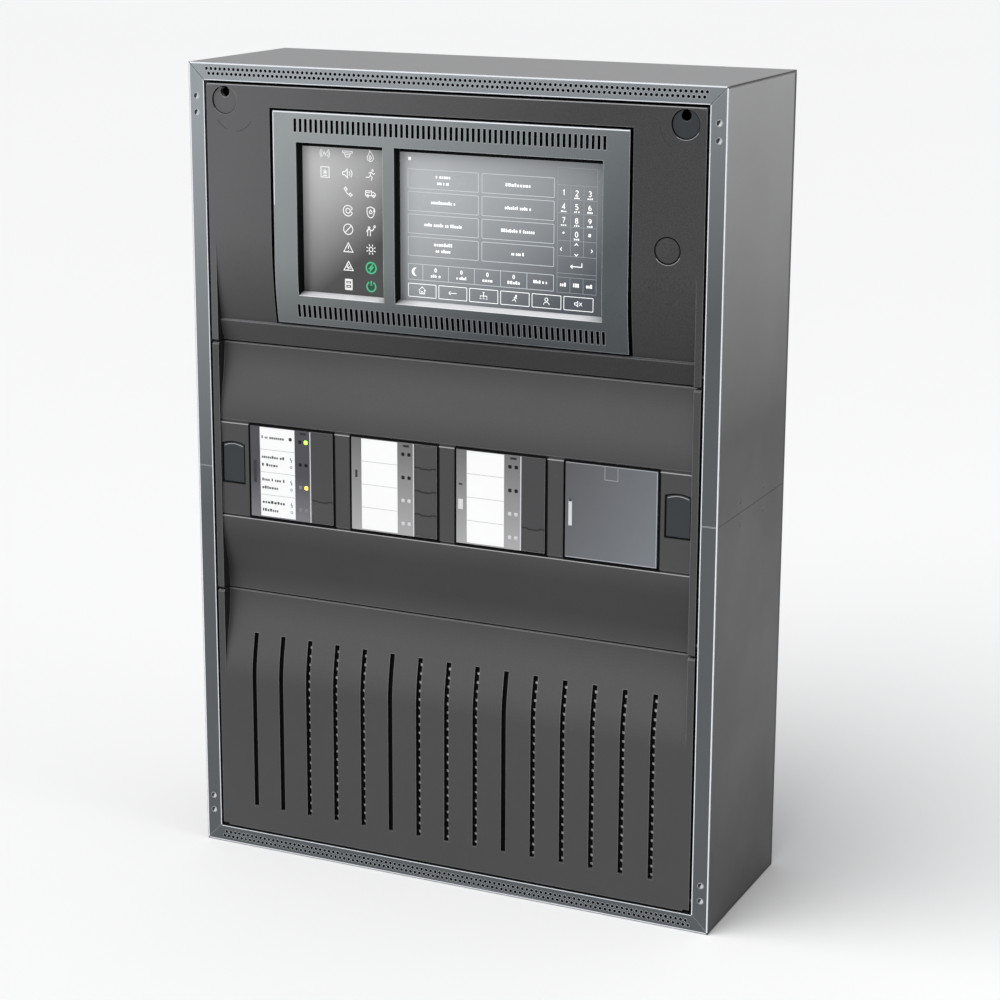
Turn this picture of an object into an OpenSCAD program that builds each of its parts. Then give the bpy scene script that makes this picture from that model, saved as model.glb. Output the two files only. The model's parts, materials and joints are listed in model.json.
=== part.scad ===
// Wall-hung fire alarm control panel: a two-part sheet-steel housing with three fold-down
// front covers, a touch-screen controller, four module slots, batteries and a power supply.
// +Z is up, +Y points to the wall, and the origin is the middle of the four wall holes
// on the housing's back face.

/* [Housing] */
// Width of the housing
body_w = 440; // [400:1:480]
// Height of the housing
body_h = 638; // [638:1:660]
// Depth of the housing
body_d = 149; // [149:1:200]
// Thickness of the sheet steel
sheet = 1.5; // [1:0.1:1.5]
// Width of the front flange round the covers
flange_w = 13.5; // [13:0.1:14]
// Distance between the wall holes, across
wall_hole_span_x = 300; // [260:1:300]
// Distance between the wall holes, up and down
wall_hole_span_z = 560; // [500:1:580]
// Diameter of the wall holes
wall_hole_d = 8; // [5:0.5:10]

/* [Vents] */
// Diameter of the holes in the top and bottom flanges
vent_hole_d = 2.5; // [2:0.1:2.8]
// Pitch of the vent holes along a row
vent_pitch = 4; // [4:0.5:8]
// Number of slots in the lower cover
cover_slots = 15; // [3:2:15]
// Pitch of the slots in the lower cover
cover_slot_pitch = 24.64; // [20:0.01:25]

/* [Covers] */
// Gap between the flange and the covers
cover_gap = 2; // [1.5:0.1:2.5]
// Gap between one cover and the next
seam_gap = 1.3; // [1.2:0.1:1.6]
// Wall thickness of the covers
skin = 2.5; // [2:0.1:3]
// Depth of the hollow where two covers meet
dip = 9.3; // [8:0.1:9.5]
// Width of the raised rail at each end of the covers
rail_w = 5.5; // [5:0.1:7]

/* [Controller] */
// Width of the controller's bezel
bezel_w = 293; // [280:1:293]
// Depth of the recess that the two screens lie in
screen_recess = 10; // [8:0.5:11]
// Number of vent slots in each row of the bezel
bezel_slots = 57; // [11:2:57]

/* [Modules] */
// Distance from one module slot to the next
slot_pitch = 90.4; // [88:0.1:92]
// Size of a slot's square window
window_size = 76.5; // [75:0.1:78]
// Size of a module's square face
face_size = 73.6; // [73:0.1:74]
// How far a key travels
key_travel = 0.8; // [0.4:0.1:1]

/* [Hidden] */
$fn = 48;

housing_grey = "slategray";
cover_grey = [0.27, 0.27, 0.28];
zinc = "silver";
eps = 0.2; // how far a cutter runs past the face that it cuts

half_w = body_w / 2;
half_h = body_h / 2;
front = -body_d;               // the plane of the front flange
back_in = -sheet;              // inner face of the back wall
flange_in_x = half_w - flange_w;
flange_in_z = half_h - flange_w;

// Heights where the covers begin and end
cover_half_w = flange_in_x - cover_gap;
rail_in = cover_half_w - rail_w;    // inner edge of the raised rail
covers_top = flange_in_z - 2.2;
covers_bottom = -flange_in_z + cover_gap;
upper_seam = 101.5;
lower_seam = -101.5;
cover_back = front + 13;            // rear edge of the covers' side walls

// Hinge pins
pin_r = 1.5;
pin_y = front + 4.5;
pin_rise = 8;                       // height of a pin above its cover's lower edge
upper_pin_z = upper_seam + seam_gap / 2 + pin_rise;
middle_pin_z = lower_seam + seam_gap / 2 + pin_rise;
lower_pin_z = covers_bottom + pin_rise;
lip_depth = 8;                      // depth of the folded lip behind the side flange
web_x = 209;                        // inner face of the uprights
web_t = 1.2;

// Controller
bezel_top = half_h - 34;
bezel_bottom = half_h - 197.8;
opening_w = bezel_w + 5.4;
opening_top = bezel_top + 2;
ledge_z = bezel_bottom - 1.7;       // top of the upper cover's lip under the bezel
bezel_back = front + 12;
screen_y = front + screen_recess;
// [left, right, bottom, top] of the indicator window and of the display window
indicator_win = [-126.5, -52.5, half_h - 175, half_h - 57];
display_win = [-43, 126, half_h - 175, half_h - 57];
case_back = front + 55;

// Modules and their slots
row_depth = 1.5;                    // how far the module row lies behind the flange plane
slot_x = [for (i = [0:3]) (i - 1.5) * slot_pitch];
face_y = front + 1;
nose_back = front + 18;
rail_y = -88;                       // front face of the module rail
field_h = face_size / 4;            // height of one label field, and of one key
label_u = [8.5, 40];                // label, measured from the module's left edge
led_u = [44.8, 50];                 // the two columns of lamps
fascia_w = 54.2;
key_u = [55.1, 73.2];

// Batteries and power supply
battery_size = [181, 77, 167];
tray_z = -half_h + sheet + 1;
battery_y = -100;
battery_x = [-206, -23];
supply_x = [162, 206];

lock_x = 188.5;
lock_z = half_h - 28;
lock_r = 10.5;
blank_pos = [176.5, half_h - 118.7];
latch_x = [178.8, 197.8];           // inner and outer edge of a latch paddle
latch_z = [-11.4, 19.2];            // lower edge, and the upper edge at its corners
latch_pin = [front + 7.5, -9];      // [y, z] of a paddle's pivot

// ---------- helpers ----------

// A box from its lowest to its highest corner
module block(low, high) translate(low) cube(high - low);

// Draws a shape given in [y, z] and runs it from x0 to x1
module along_x(x0, x1) translate([x0, 0, 0]) rotate([90, 0, 90]) linear_extrude(x1 - x0) children();

// Draws a shape given in [x, z] and runs it from y0 to y1
module along_y(y0, y1) translate([0, y1, 0]) rotate([90, 0, 0]) linear_extrude(y1 - y0) children();

// A rod along X or along Y
module rod_x(x0, x1, r) translate([x0, 0, 0]) rotate([0, 90, 0]) cylinder(h = x1 - x0, r = r);
module rod_y(y0, y1, r) translate([0, y0, 0]) rotate([-90, 0, 0]) cylinder(h = y1 - y0, r = r);

// The child, and its mirror image on the other side
module both_sides() { children(); mirror([1, 0, 0]) children(); }

function rectangle(x0, x1, z0, z1) = [[x0, z0], [x1, z0], [x1, z1], [x0, z1]];
function window(w, grow = 0) = rectangle(w[0] - grow, w[1] + grow, w[2] - grow, w[3] + grow);
function reversed(list) = [for (i = [len(list) - 1:-1:0]) list[i]];
function ease(t) = (1 - cos(180 * t)) / 2;

// A curve's [y, z] points, moved back by a distance
function moved_back(curve, by) = [for (p = curve) [p[0] + by, p[1]]];

// ---------- the covers' front curves, as [y, z] from the bottom up ----------

curve_steps = 24;

// Upper cover: sloping foot, lip under the bezel, dished lower part, flat top
dish_top = half_h - 130;
dish_depth = 6;
upper_curve = concat(
    [[front + dip, upper_seam + seam_gap / 2], [front + 4.3, ledge_z - 1.5], [front + 4.3, ledge_z - 0.8]],
    [for (i = [0:curve_steps])
        let (t = i / curve_steps)
        [front + dish_depth * pow(1 - t, 2), ledge_z + t * (dish_top - ledge_z)]],
    [[front, covers_top]]);

// Middle cover: swells from both seams to the module row, with a groove above and below the row
middle_half = -lower_seam - seam_gap / 2;
groove = 3.2;
middle_curve = concat(
    [for (i = [0:curve_steps])
        let (t = i / curve_steps)
        [front + dip - (dip - 1.2) * ease(t), -middle_half + t * (middle_half - 39.7)]],
    [[front + groove, -38.5], [front + groove, -37.9], [front + row_depth, -37.6],
     [front + row_depth, 37], [front + groove, 38.1], [front + groove, 39]],
    [for (i = [0:curve_steps])
        let (t = i / curve_steps)
        [front + 1.8 + (dip - 1.8) * ease(t), 39.3 + t * (middle_half - 39.3)]]);

// Lower cover: flat, then dished towards the seam
flat_top = half_h - 495;
lower_top = lower_seam - seam_gap / 2;
lower_curve = concat(
    [[front, covers_bottom]],
    [for (i = [0:curve_steps])
        let (t = i / curve_steps)
        [front + dip * ease(t), flat_top + t * (lower_top - flat_top)]]);

// The bezel follows the upper cover's dish, a little in front of it
bezel_flat = half_h - 150;
bezel_curve = concat(
    [for (i = [0:curve_steps])
        let (t = i / curve_steps)
        [front + 4.5 * pow(1 - t, 2), bezel_bottom + t * (bezel_flat - bezel_bottom)]],
    [[front, bezel_top]]);

// ---------- housing ----------

// The folded wrap of one half of the housing, drawn for the upper half
module half_shell() {
    seam = 0.15;
    top = half_h - sheet - 0.3;
    mitre = 0.3;
    difference() {
        union() {
            block([-half_w, back_in, seam], [half_w, 0, top]);
            both_sides() {
                block([half_w - sheet, front, seam], [half_w, back_in, top]);
                along_y(front, front + sheet)
                    polygon([[flange_in_x, seam], [half_w - sheet, seam], [half_w - sheet, top],
                             [top - flange_in_z + flange_in_x + mitre, top], [flange_in_x, flange_in_z - mitre]]);
                block([flange_in_x, front + sheet, seam], [flange_in_x + sheet, front + sheet + lip_depth, flange_in_z - mitre]);
            }
        }
        both_sides() {
            translate([wall_hole_span_x / 2, 0, wall_hole_span_z / 2]) rod_y(back_in - eps, eps, wall_hole_d / 2);
            for (z = flange_screw_z) translate([flange_screw_x, 0, z]) rod_y(front - eps, front + sheet + eps, screw_head_r + 0.1);
            for (y = rivet_y) translate([0, y, rivet_z]) rod_x(half_w - sheet - eps, half_w + eps, rivet_r);
        }
    }
}

module pin_holes(z, r) both_sides() translate([0, pin_y, z]) rod_x(flange_in_x - eps, web_x + web_t + eps, r);

module upper_shell() color(housing_grey) difference() {
    half_shell();
    pin_holes(upper_pin_z, pin_r + 0.02);
    block([-membrane[0] / 2 + 5, back_in - eps, membrane_z - membrane[1] / 2 + 5],
          [membrane[0] / 2 - 5, eps, membrane_z + membrane[1] / 2 - 5]);
}

module lower_shell() color(housing_grey) difference() {
    mirror([0, 0, 1]) half_shell();
    pin_holes(middle_pin_z, pin_r + 0.02);
    pin_holes(lower_pin_z, pin_r + 0.02);
}

// Top sheet with its mitred, perforated front flange; the bottom panel is its mirror image
module end_panel() {
    outer_row = half_h - 4.6;
    inner_row = outer_row - 3.7;
    holes = 2 * floor((flange_in_x - 2.4) / vent_pitch) + 1;
    block([-half_w, front + sheet, half_h - sheet], [half_w, 0, half_h]);
    block([-flange_in_x, front + sheet, flange_in_z], [flange_in_x, front + sheet + 6, flange_in_z + sheet]);
    along_y(front, front + sheet) difference() {
        polygon([[-flange_in_x, flange_in_z], [flange_in_x, flange_in_z], [half_w, half_h], [-half_w, half_h]]);
        for (i = [0:holes - 1]) translate([(i - (holes - 1) / 2) * vent_pitch, outer_row]) circle(d = vent_hole_d);
        for (i = [0:holes - 2]) translate([(i - (holes - 2) / 2) * vent_pitch, inner_row]) circle(d = vent_hole_d);
    }
}

module top_panel() color(housing_grey) end_panel();
module bottom_panel() color(housing_grey) mirror([0, 0, 1]) end_panel();

// Plates inside the seam that hold the two halves together
module splice_plates() color(zinc) {
    both_sides() difference() {
        block([half_w - sheet - 1.5, front + 30, -20], [half_w - sheet, -25, 20]);
        for (y = rivet_y, z = [-rivet_z, rivet_z]) translate([0, y, z]) rod_x(half_w - 4, half_w, rivet_shank_r + 0.02);
    }
    block([-150, back_in - 1.5, -18], [150, back_in, 18]);
}

rivet_y = [front + 48, front + 100];
rivet_z = 9;
rivet_r = 2;
rivet_shank_r = 1.2;
module seam_rivets() color("dimgray") both_sides() for (y = rivet_y, z = [-rivet_z, rivet_z]) translate([0, y, z]) {
    rod_x(half_w - sheet, half_w - 0.15, rivet_r - 0.1);
    rod_x(half_w - sheet - 2.5, half_w - sheet, rivet_shank_r);
}

flange_screw_x = half_w - 6.5;
flange_screw_z = [half_h - 38.5, half_h - 26];
screw_head_r = 2.2;
module flange_screws() color(zinc) both_sides() for (z = flange_screw_z, side = [-1, 1]) translate([flange_screw_x, 0, side * z]) {
    difference() {
        rod_y(front + 0.3, front + sheet, screw_head_r);
        translate([0, front, 0]) rotate([-90, 0, 0]) cylinder(h = 1, r = 1.1, $fn = 6);
    }
    rod_y(front + sheet, front + 9, 1.4);
}

// Z-shaped post behind each side flange: it carries the hinge pins, the controller and the modules
post_z = [-120, 300];
module post_profile() polygon([[web_x, front + sheet], [half_w - 3, front + sheet], [half_w - 3, front + sheet + web_t],
                               [web_x + web_t, front + sheet + web_t], [web_x + web_t, -85], [195, -85],
                               [195, -85 - web_t], [web_x, -85 - web_t]]);
module upright() difference() {
    union() {
        translate([0, 0, post_z[0]]) linear_extrude(post_z[1] - post_z[0]) post_profile();
        // keepers for the lock's cam and for the latch's hook
        block([199, front + 14, lock_z - 6], [web_x, front + 15.5, lock_z + 6]);
        block([182, front + 14, 20.2], [web_x, front + 15.5, 28]);
    }
    for (z = [upper_pin_z, middle_pin_z]) translate([0, pin_y, z]) rod_x(web_x - eps, web_x + web_t + eps, pin_r + 0.02);
    for (z = flange_screw_z) translate([flange_screw_x, 0, z]) rod_y(front + 1, front + 4, 1.45);
}
module upright_right() color(zinc) upright();
module upright_left() color(zinc) mirror([1, 0, 0]) upright();

module hinge_pins() color(zinc) both_sides() for (z = [upper_pin_z, middle_pin_z, lower_pin_z])
    translate([0, pin_y, z]) rod_x(cover_half_w - 3.2, web_x + web_t, pin_r);

// Rubber plate over the cable opening in the back
membrane = [130, 46];
membrane_z = 284;
module cable_membrane() color([0.12, 0.12, 0.12]) difference() {
    block([-membrane[0] / 2, back_in - 3, membrane_z - membrane[1] / 2], [membrane[0] / 2, back_in, membrane_z + membrane[1] / 2]);
    for (i = [-2.5:1:2.5], j = [-0.5, 0.5]) translate([i * 20, 0, membrane_z + j * 19]) rod_y(back_in - 4, back_in - 2, 6.5);
}

module earth_stud() color("goldenrod") translate([185, 0, -140]) {
    rod_y(back_in - 14, back_in, 3);
    rod_y(back_in - 4, back_in, 5.2, $fn = 6);
}

// ---------- controller ----------

module controller_frame() color(zinc) difference() {
    block([-208, -87.7, 112], [208, -86.2, 292]);
    block([-100, -90, 150], [100, -80, 255]);
}

module controller_standoffs() color(zinc) for (x = [-125, 125], z = [138, 268])
    translate([x, 0, z]) rod_y(case_back, -87.7, 4);

module controller_case() color([0.2, 0.2, 0.21]) difference() {
    block([-142, bezel_back, bezel_bottom + 2.3], [142, case_back, bezel_top - 2.3]);
    block([-140, bezel_back - eps, bezel_bottom + 4.3], [140, case_back - 2, bezel_top - 4.3]);
    for (i = [-12:12]) block([i * 9 - 2, case_back - 30, bezel_top - 5], [i * 9 + 2, case_back - 10, bezel_top]);
}

module controller_board() color("darkgreen") {
    block([-130, front + 30, 132], [130, front + 31.6, 274]);
    block([-110, front + 31.6, 150], [-60, front + 37, 190]);
    block([-20, front + 31.6, 200], [20, front + 34, 240]);
    for (i = [0:4]) block([40 + i * 16, front + 31.6, 136], [53 + i * 16, front + 43, 148]);
}

module controller_bezel() color([0.42, 0.46, 0.5]) difference() {
    along_x(-bezel_w / 2, bezel_w / 2)
        polygon(concat(bezel_curve, [[bezel_back, bezel_top], [bezel_back, bezel_bottom]]));
    // hollow behind the skin, which leaves the walls round the two windows
    difference() {
        along_x(-bezel_w / 2 + 2, bezel_w / 2 - 2)
            polygon(concat(moved_back(bezel_inner_curve, skin),
                           [[bezel_back + eps, bezel_top - 2], [bezel_back + eps, bezel_bottom + 2]]));
        for (w = [indicator_win, display_win]) along_y(front, screen_y) polygon(window(w, 1.5));
    }
    for (w = [indicator_win, display_win]) along_y(front - 1, bezel_back + 1) polygon(window(w));
    for (i = [0:bezel_slots - 1], z = bezel_slot_z)
        let (x = (i - (bezel_slots - 1) / 2) * bezel_slot_pitch)
        block([x - 1.2, front - 1, z], [x + 1.2, front + 7.5, z + bezel_slot_h]);
}
bezel_slot_pitch = 4.536;
bezel_slot_h = 10.2;
bezel_slot_z = [half_h - 49.3, half_h - 192.3];
// the bezel's front curve, cut short so that the top and bottom walls keep their thickness
bezel_inner_curve = concat(
    [[bezel_curve[0][0], bezel_bottom + 2]],
    [for (i = [1:curve_steps]) bezel_curve[i]],
    [[front, bezel_top - 2]]);

module screen_plate(w, y0, y1, grow) along_y(y0, y1) polygon(window(w, grow));
module indicator_lens() color([0.45, 0.45, 0.47]) screen_plate(indicator_win, screen_y, screen_y + 1.5, 1.5);
module touch_glass() color([0.4, 0.44, 0.47]) screen_plate(display_win, screen_y, screen_y + 1.5, 1.5);
module display_module() color([0.1, 0.1, 0.11]) screen_plate(display_win, screen_y + 1.5, front + 19, 0.5);

// Lamps of the indicator field, one behind each symbol
indicator_cols = [-107, -87.5, -68];
indicator_rows = [for (i = [0:7]) half_h - 65.5 - i * 14.2];
module indicator_board() color("darkgreen") {
    block([-124, front + 16, half_h - 172], [-55, front + 17.6, half_h - 60]);
    for (x = [indicator_cols[1], indicator_cols[2]], z = indicator_rows) block([x - 1.5, front + 14, z - 1.5], [x + 1.5, front + 16, z + 1.5]);
    for (z = [indicator_rows[0], indicator_rows[1]]) block([indicator_cols[0] - 1.5, front + 14, z - 1.5], [indicator_cols[0] + 1.5, front + 16, z + 1.5]);
}

// ---------- modules ----------

module module_rail() color(zinc) difference() {
    block([-208, rail_y, -30], [208, -86.2, 30]);
    for (x = slot_x) block([x - 20, rail_y - 1, -6], [x + 20, -80, 6]);
}

// A polygon for a key or its opening: the lower edge has a tab and the upper edge a notch.
// Field 0 is the lowest, and its key ends a little above the module's edge
function key_outline(field, grow) =
    let (u0 = key_u[0] + 0.2 - grow, u1 = key_u[1] - 0.2 + grow,
         z0 = (field == 0 ? 1.5 : 0.3) - grow, z1 = field_h - (field == 3 ? 0.9 : 0.3) + grow,
         mid = (u0 + u1) / 2, tab = 0.9)
    [[u0, z0], [mid - 5, z0], [mid - 4, z0 - tab], [mid + 4, z0 - tab], [mid + 5, z0], [u1, z0],
     [u1, z1], [mid + 5.2, z1], [mid + 4.2, z1 - tab], [mid - 4.2, z1 - tab], [mid - 5.2, z1], [u0, z1]];

function key_base(field) = -face_size / 2 + field * field_h;

module module_case(slot, fields) color([0.3, 0.3, 0.31]) translate([slot_x[slot], 0, 0]) difference() {
    union() {
        block([-face_size / 2, front + 4, -face_size / 2], [face_size / 2, nose_back, face_size / 2]);
        block([-43, nose_back, -59], [43, rail_y, 59]);
        block([-face_size / 2 + fascia_w + 0.2, face_y + 0.2, -face_size / 2], [face_size / 2, front + 4, face_size / 2]);
    }
    for (f = fields) translate([-face_size / 2, 0, key_base(f)]) along_y(face_y - 1, front + 7)
        polygon(key_outline(f, 0.15));
}

module module_key(slot, field) color(cover_grey) translate([slot_x[slot] - face_size / 2, 0, key_base(field)])
    along_y(face_y + 0.2, front + 7 - key_travel - 0.2)
        polygon(key_outline(field, 0));

lamp_r = 1.25;
module at_lamps(slot) for (u = led_u, f = [0:3])
    translate([slot_x[slot] - face_size / 2 + u, 0, -face_size / 2 + (f + 0.5) * field_h]) children();

module module_fascia(slot) color([0.45, 0.45, 0.47]) difference() {
    translate([slot_x[slot], 0, 0]) block([-face_size / 2, face_y, -face_size / 2], [-face_size / 2 + fascia_w, front + 4, face_size / 2]);
    translate([slot_x[slot] - face_size / 2, 0, 0]) block([label_u[0], face_y - 1, -face_size / 2 + 0.8], [label_u[1], face_y + 0.6, face_size / 2 - 0.3]);
    at_lamps(slot) rod_y(face_y - 1, front + 5, lamp_r + 0.05);
}

module module_label(slot) color("white") translate([slot_x[slot] - face_size / 2, 0, 0])
    block([label_u[0] + 0.1, face_y + 0.15, -face_size / 2 + 0.9], [label_u[1] - 0.1, face_y + 0.6, face_size / 2 - 0.4]);

module module_leds(slot) color("lightgray") at_lamps(slot) rod_y(face_y + 0.1, front + 4, lamp_r);

module module_1_case() module_case(0, [0]);
module module_2_case() module_case(1, [0, 1, 2, 3]);
module module_3_case() module_case(2, [0]);

module blank_plate() color([0.5, 0.5, 0.53]) translate([slot_x[3], 0, 0]) difference() {
    block([-face_size / 2, face_y, -face_size / 2], [face_size / 2, nose_back, face_size / 2]);
    block([-face_size / 2 + 1.5, face_y + 2, -face_size / 2 + 1.5], [face_size / 2 - 1.5, nose_back + 1, face_size / 2 - 1.5]);
    // outline of the finger tab
    along_y(face_y - 1, face_y + 0.4) difference() {
        polygon(rectangle(-5.5, 5.5, face_size / 2 - 11, face_size / 2 + 1));
        polygon(rectangle(-4.9, 4.9, face_size / 2 - 10.4, face_size / 2 + 1));
    }
}

// ---------- batteries and power supply ----------

module battery_tray() color(zinc) {
    block([-web_x, battery_y - 6, tray_z - 1], [web_x, -8, tray_z]);
    block([-web_x, battery_y - 7, tray_z - 1], [web_x, battery_y - 6, tray_z + 14]);
    both_sides() difference() {
        union() {
            block([web_x, front + sheet, tray_z - 1], [web_x + web_t, -8, -270]);
            block([web_x + web_t, front + sheet, -flange_in_z + 0.3], [half_w - 3, front + sheet + web_t, -270]);
        }
        translate([0, pin_y, lower_pin_z]) rod_x(web_x - eps, web_x + web_t + eps, pin_r + 0.02);
        for (z = flange_screw_z) translate([flange_screw_x, 0, -z]) rod_y(front + 1, front + 4, 1.45);
        // cut-out that leaves the wing light
        block([web_x - 1, -90, -305], [web_x + 2, -30, -282]);
    }
}

module battery(x) color([0.2, 0.21, 0.24]) difference() {
    block([x, battery_y, tray_z], [x + battery_size[0], battery_y + battery_size[1], tray_z + battery_size[2]]);
    block([x + 20, battery_y - 1, tray_z + 20], [x + battery_size[0] - 20, battery_y + 0.8, tray_z + battery_size[2] - 45]);
    for (post = battery_posts) translate([x + post, battery_y + 12, 0])
        block([-9, -9, tray_z + battery_size[2] - 8], [9, 9, tray_z + battery_size[2] + 1]);
}
module battery_left() battery(battery_x[0]);
module battery_right() battery(battery_x[1]);

battery_posts = [14, battery_size[0] - 14];   // the two posts, from the battery's left end
battery_top = tray_z + battery_size[2];
post_y = battery_y + 12;
module battery_terminals() color("lightgray") for (x = battery_x, post = battery_posts)
    translate([x + post, post_y, 0]) difference() {
        block([-6, -5, battery_top - 8], [6, 5, battery_top + 2]);
        block([-7, 2, battery_top - 2], [7, 6, battery_top + 3]);
    }

// Strap across the front of both batteries, with a leg to the side wall and one to the back
module battery_strap() color(zinc) {
    strap_right = 160.7;
    block([-web_x, battery_y - 2, -262], [strap_right, battery_y - 0.5, -246]);
    block([-web_x, battery_y - 0.5, -262], [-web_x + 1.5, -8, -246]);
    block([-half_w + sheet, -9.5, -262], [-web_x + 1.5, -8, -246]);
    block([strap_right - 1.5, battery_y - 0.5, -262], [strap_right, back_in, -246]);
}

module power_supply() color([0.55, 0.56, 0.58]) difference() {
    block([supply_x[0], battery_y - 5.5, tray_z + 10], [supply_x[1], back_in, -172]);
    for (i = [0:9])
        block([supply_x[0] + 5, battery_y - 7, tray_z + 20 + i * 6], [supply_x[1] - 5, battery_y - 4.5, tray_z + 22.5 + i * 6]);
    block([supply_x[0] + 4, battery_y - 7, -192], [supply_x[1] - 4, battery_y + 4, -180]);
}

module power_terminals() color("seagreen") difference() {
    block([supply_x[0] + 4.2, battery_y - 4.5, -191.8], [supply_x[1] - 4.2, battery_y + 3.8, -180.2]);
    for (i = [0:5]) translate([supply_x[0] + 7.5 + i * 5.8, 0, -188]) rod_y(battery_y - 6, battery_y - 1, 1.6);
}

// A lead from one point up, across and down to another, with round bends
lead_r = 1.8;
bend_r = 8;
module lead(x0, y, z0, z_run, x1, z1) {
    translate([x0, y, z0]) cylinder(h = z_run - bend_r - z0, r = lead_r);
    translate([x0 + bend_r, y, z_run - bend_r]) rotate([90, 0, 0])
        rotate([0, 0, 90]) rotate_extrude(angle = 90) translate([bend_r, 0]) circle(r = lead_r);
    translate([0, y, z_run]) rod_x(x0 + bend_r, x1 - bend_r, lead_r);
    translate([x1 - bend_r, y, z_run - bend_r]) rotate([90, 0, 0])
        rotate_extrude(angle = 90) translate([bend_r, 0]) circle(r = lead_r);
    translate([x1, y, z1]) cylinder(h = z_run - bend_r - z1, r = lead_r);
}
module battery_lead_red() color("firebrick") {
    lead(battery_x[1] + battery_posts[1], post_y - 2, battery_top + 2, battery_top + 26, supply_x[0] + 10, -172);
    lead(battery_x[0] + battery_posts[1], post_y - 2, battery_top + 2, battery_top + 14, battery_x[1] + battery_posts[0], battery_top + 2);
}
module battery_lead_black() color([0.1, 0.1, 0.1])
    lead(battery_x[0] + battery_posts[0], post_y - 2, battery_top + 2, battery_top + 34, supply_x[0] + 22, -172);

// ---------- covers ----------

// A hollow cover with raised rails at both ends: its front follows a curve of [y, z] points
module cover(curve, z0, z1) {
    inner = [for (p = curve) if (p[1] > z0 + 2 && p[1] < z1 - 2) p];
    inner_all = concat([[depth_at(curve, z0 + 2), z0 + 2]], inner, [[depth_at(curve, z1 - 2), z1 - 2]]);
    bevel = 1.5;
    difference() {
        union() {
            along_x(-rail_in, rail_in) polygon(concat(curve, [[cover_back, z1], [cover_back, z0]]));
            both_sides() along_x(rail_in, cover_half_w)
                polygon([[front, z0 + bevel], [front, z1 - bevel], [front + bevel, z1], [cover_back, z1],
                         [cover_back, z0], [front + bevel, z0]]);
        }
        along_x(-rail_in, rail_in)
            polygon(concat(moved_back(inner_all, skin), [[cover_back + eps, z1 - 2], [cover_back + eps, z0 + 2]]));
        both_sides() block([rail_in + 1.7, front + skin, z0 + 2], [cover_half_w - 2, cover_back + eps, z1 - 2]);
    }
}
// y of a curve at a height
function depth_at(curve, z) = lookup(z, [for (p = curve) [p[1], p[0]]]);

module cover_pin_bores(z) both_sides() translate([0, pin_y, z]) rod_x(cover_half_w - 2 - eps, cover_half_w + eps, pin_r + 0.06);

module upper_cover() color(cover_grey) difference() {
    union() {
        cover(upper_curve, upper_seam + seam_gap / 2, covers_top);
        both_sides() intersection() {
            translate([lock_x, 0, lock_z]) rod_y(front, cover_back, 13);
            block([0, front, 0], [cover_half_w, cover_back, covers_top]);
        }
    }
    along_y(front - 1, cover_back + 1) polygon(rectangle(-opening_w / 2, opening_w / 2, ledge_z, opening_top));
    cover_pin_bores(upper_pin_z);
    both_sides() translate([lock_x, 0, lock_z]) {
        rod_y(front - 1, front + 3.4, lock_r + 0.3);
        rod_y(front, cover_back + 1, lock_stem_r + 0.06);
        translate([0, 0, lock_hole_offset]) rod_y(front, front + 11, lock_hole_r);
    }
    translate([blank_pos[0], 0, blank_pos[1]]) rod_y(front - 1, front + skin + 1, 10);
}

module switch_blank() color(cover_grey) translate([blank_pos[0], 0, blank_pos[1]]) {
    rod_y(front + 0.2, front + skin, 9.4);
    rod_y(front + skin, front + skin + 1.5, 11.5);
}

lock_stem_r = 2;
lock_hole_r = 3.8;
lock_hole_offset = 6.2;
// Rotary lock: disc with an off-centre key hole, stem, and a cam behind the cover
module lock() translate([lock_x, 0, lock_z]) {
    difference() {
        rod_y(front + 0.8, front + 3.3, lock_r);
        translate([0, 0, lock_hole_offset]) rod_y(front, front + 4, lock_hole_r);
    }
    rod_y(front + 3.3, front + 16.2, lock_stem_r);
    along_y(front + 16.2, front + 18.2) polygon(rectangle(-5, 5, -17, 5));
}
module lock_right() color([0.2, 0.23, 0.27]) lock();
module lock_left() color(cover_grey) mirror([1, 0, 0]) lock();

// Outline of a latch paddle with its arched top
function paddle_outline(grow) =
    let (x0 = latch_x[0] - grow, x1 = latch_x[1] + grow, mid = (x0 + x1) / 2, arch = 1.8)
    concat([[x0, latch_z[0] - grow], [x1, latch_z[0] - grow]],
           [for (i = [0:8]) let (t = i / 8) [x1 + t * (x0 - x1), latch_z[1] + grow + arch * 4 * t * (1 - t)]]);

module middle_cover() color(cover_grey) difference() {
    union() {
        cover(middle_curve, -middle_half, middle_half);
        // ears that hold the paddles' pivots
        both_sides() {
            block([latch_x[0] - 2.4, front + 4, -14], [latch_x[0] - 0.4, front + 12, -4]);
            block([latch_x[1] + 0.4, front + 4, -14], [rail_in + 0.5, front + 12, -4]);
        }
    }
    for (x = slot_x) along_y(front - 1, front + 8)
        polygon(rectangle(x - window_size / 2, x + window_size / 2, -window_size / 2, window_size / 2));
    both_sides() {
        along_y(front - 1, front + 5) polygon(paddle_outline(0.5));
        translate([0, latch_pin[0], latch_pin[1]]) rod_x(latch_x[0] - 3, rail_in + 0.2, 1.26);
    }
    cover_pin_bores(middle_pin_z);
}

// Push latch: paddle, pivot rod and a hook that comes to rest just under the post's keeper
module latch() {
    along_y(front + 2, front + 4.5) polygon(paddle_outline(0));
    block([latch_x[0] + 1, front + 4.5, latch_pin[1] - 1], [latch_x[1] - 1, latch_pin[0], latch_pin[1] + 1]);
    translate([0, latch_pin[0], latch_pin[1]]) rod_x(latch_x[0] - 2, latch_x[1] + 0.9, 1.2);
    along_x(latch_x[0] + 5, latch_x[1] - 5)
        polygon([[front + 4.5, 12], [front + 22, 12], [front + 22, 15], [front + 18, 18], [front + 18, 15], [front + 4.5, 15]]);
}
module latch_right() color([0.23, 0.27, 0.3]) latch();
module latch_left() color([0.23, 0.27, 0.3]) mirror([1, 0, 0]) latch();

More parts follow.
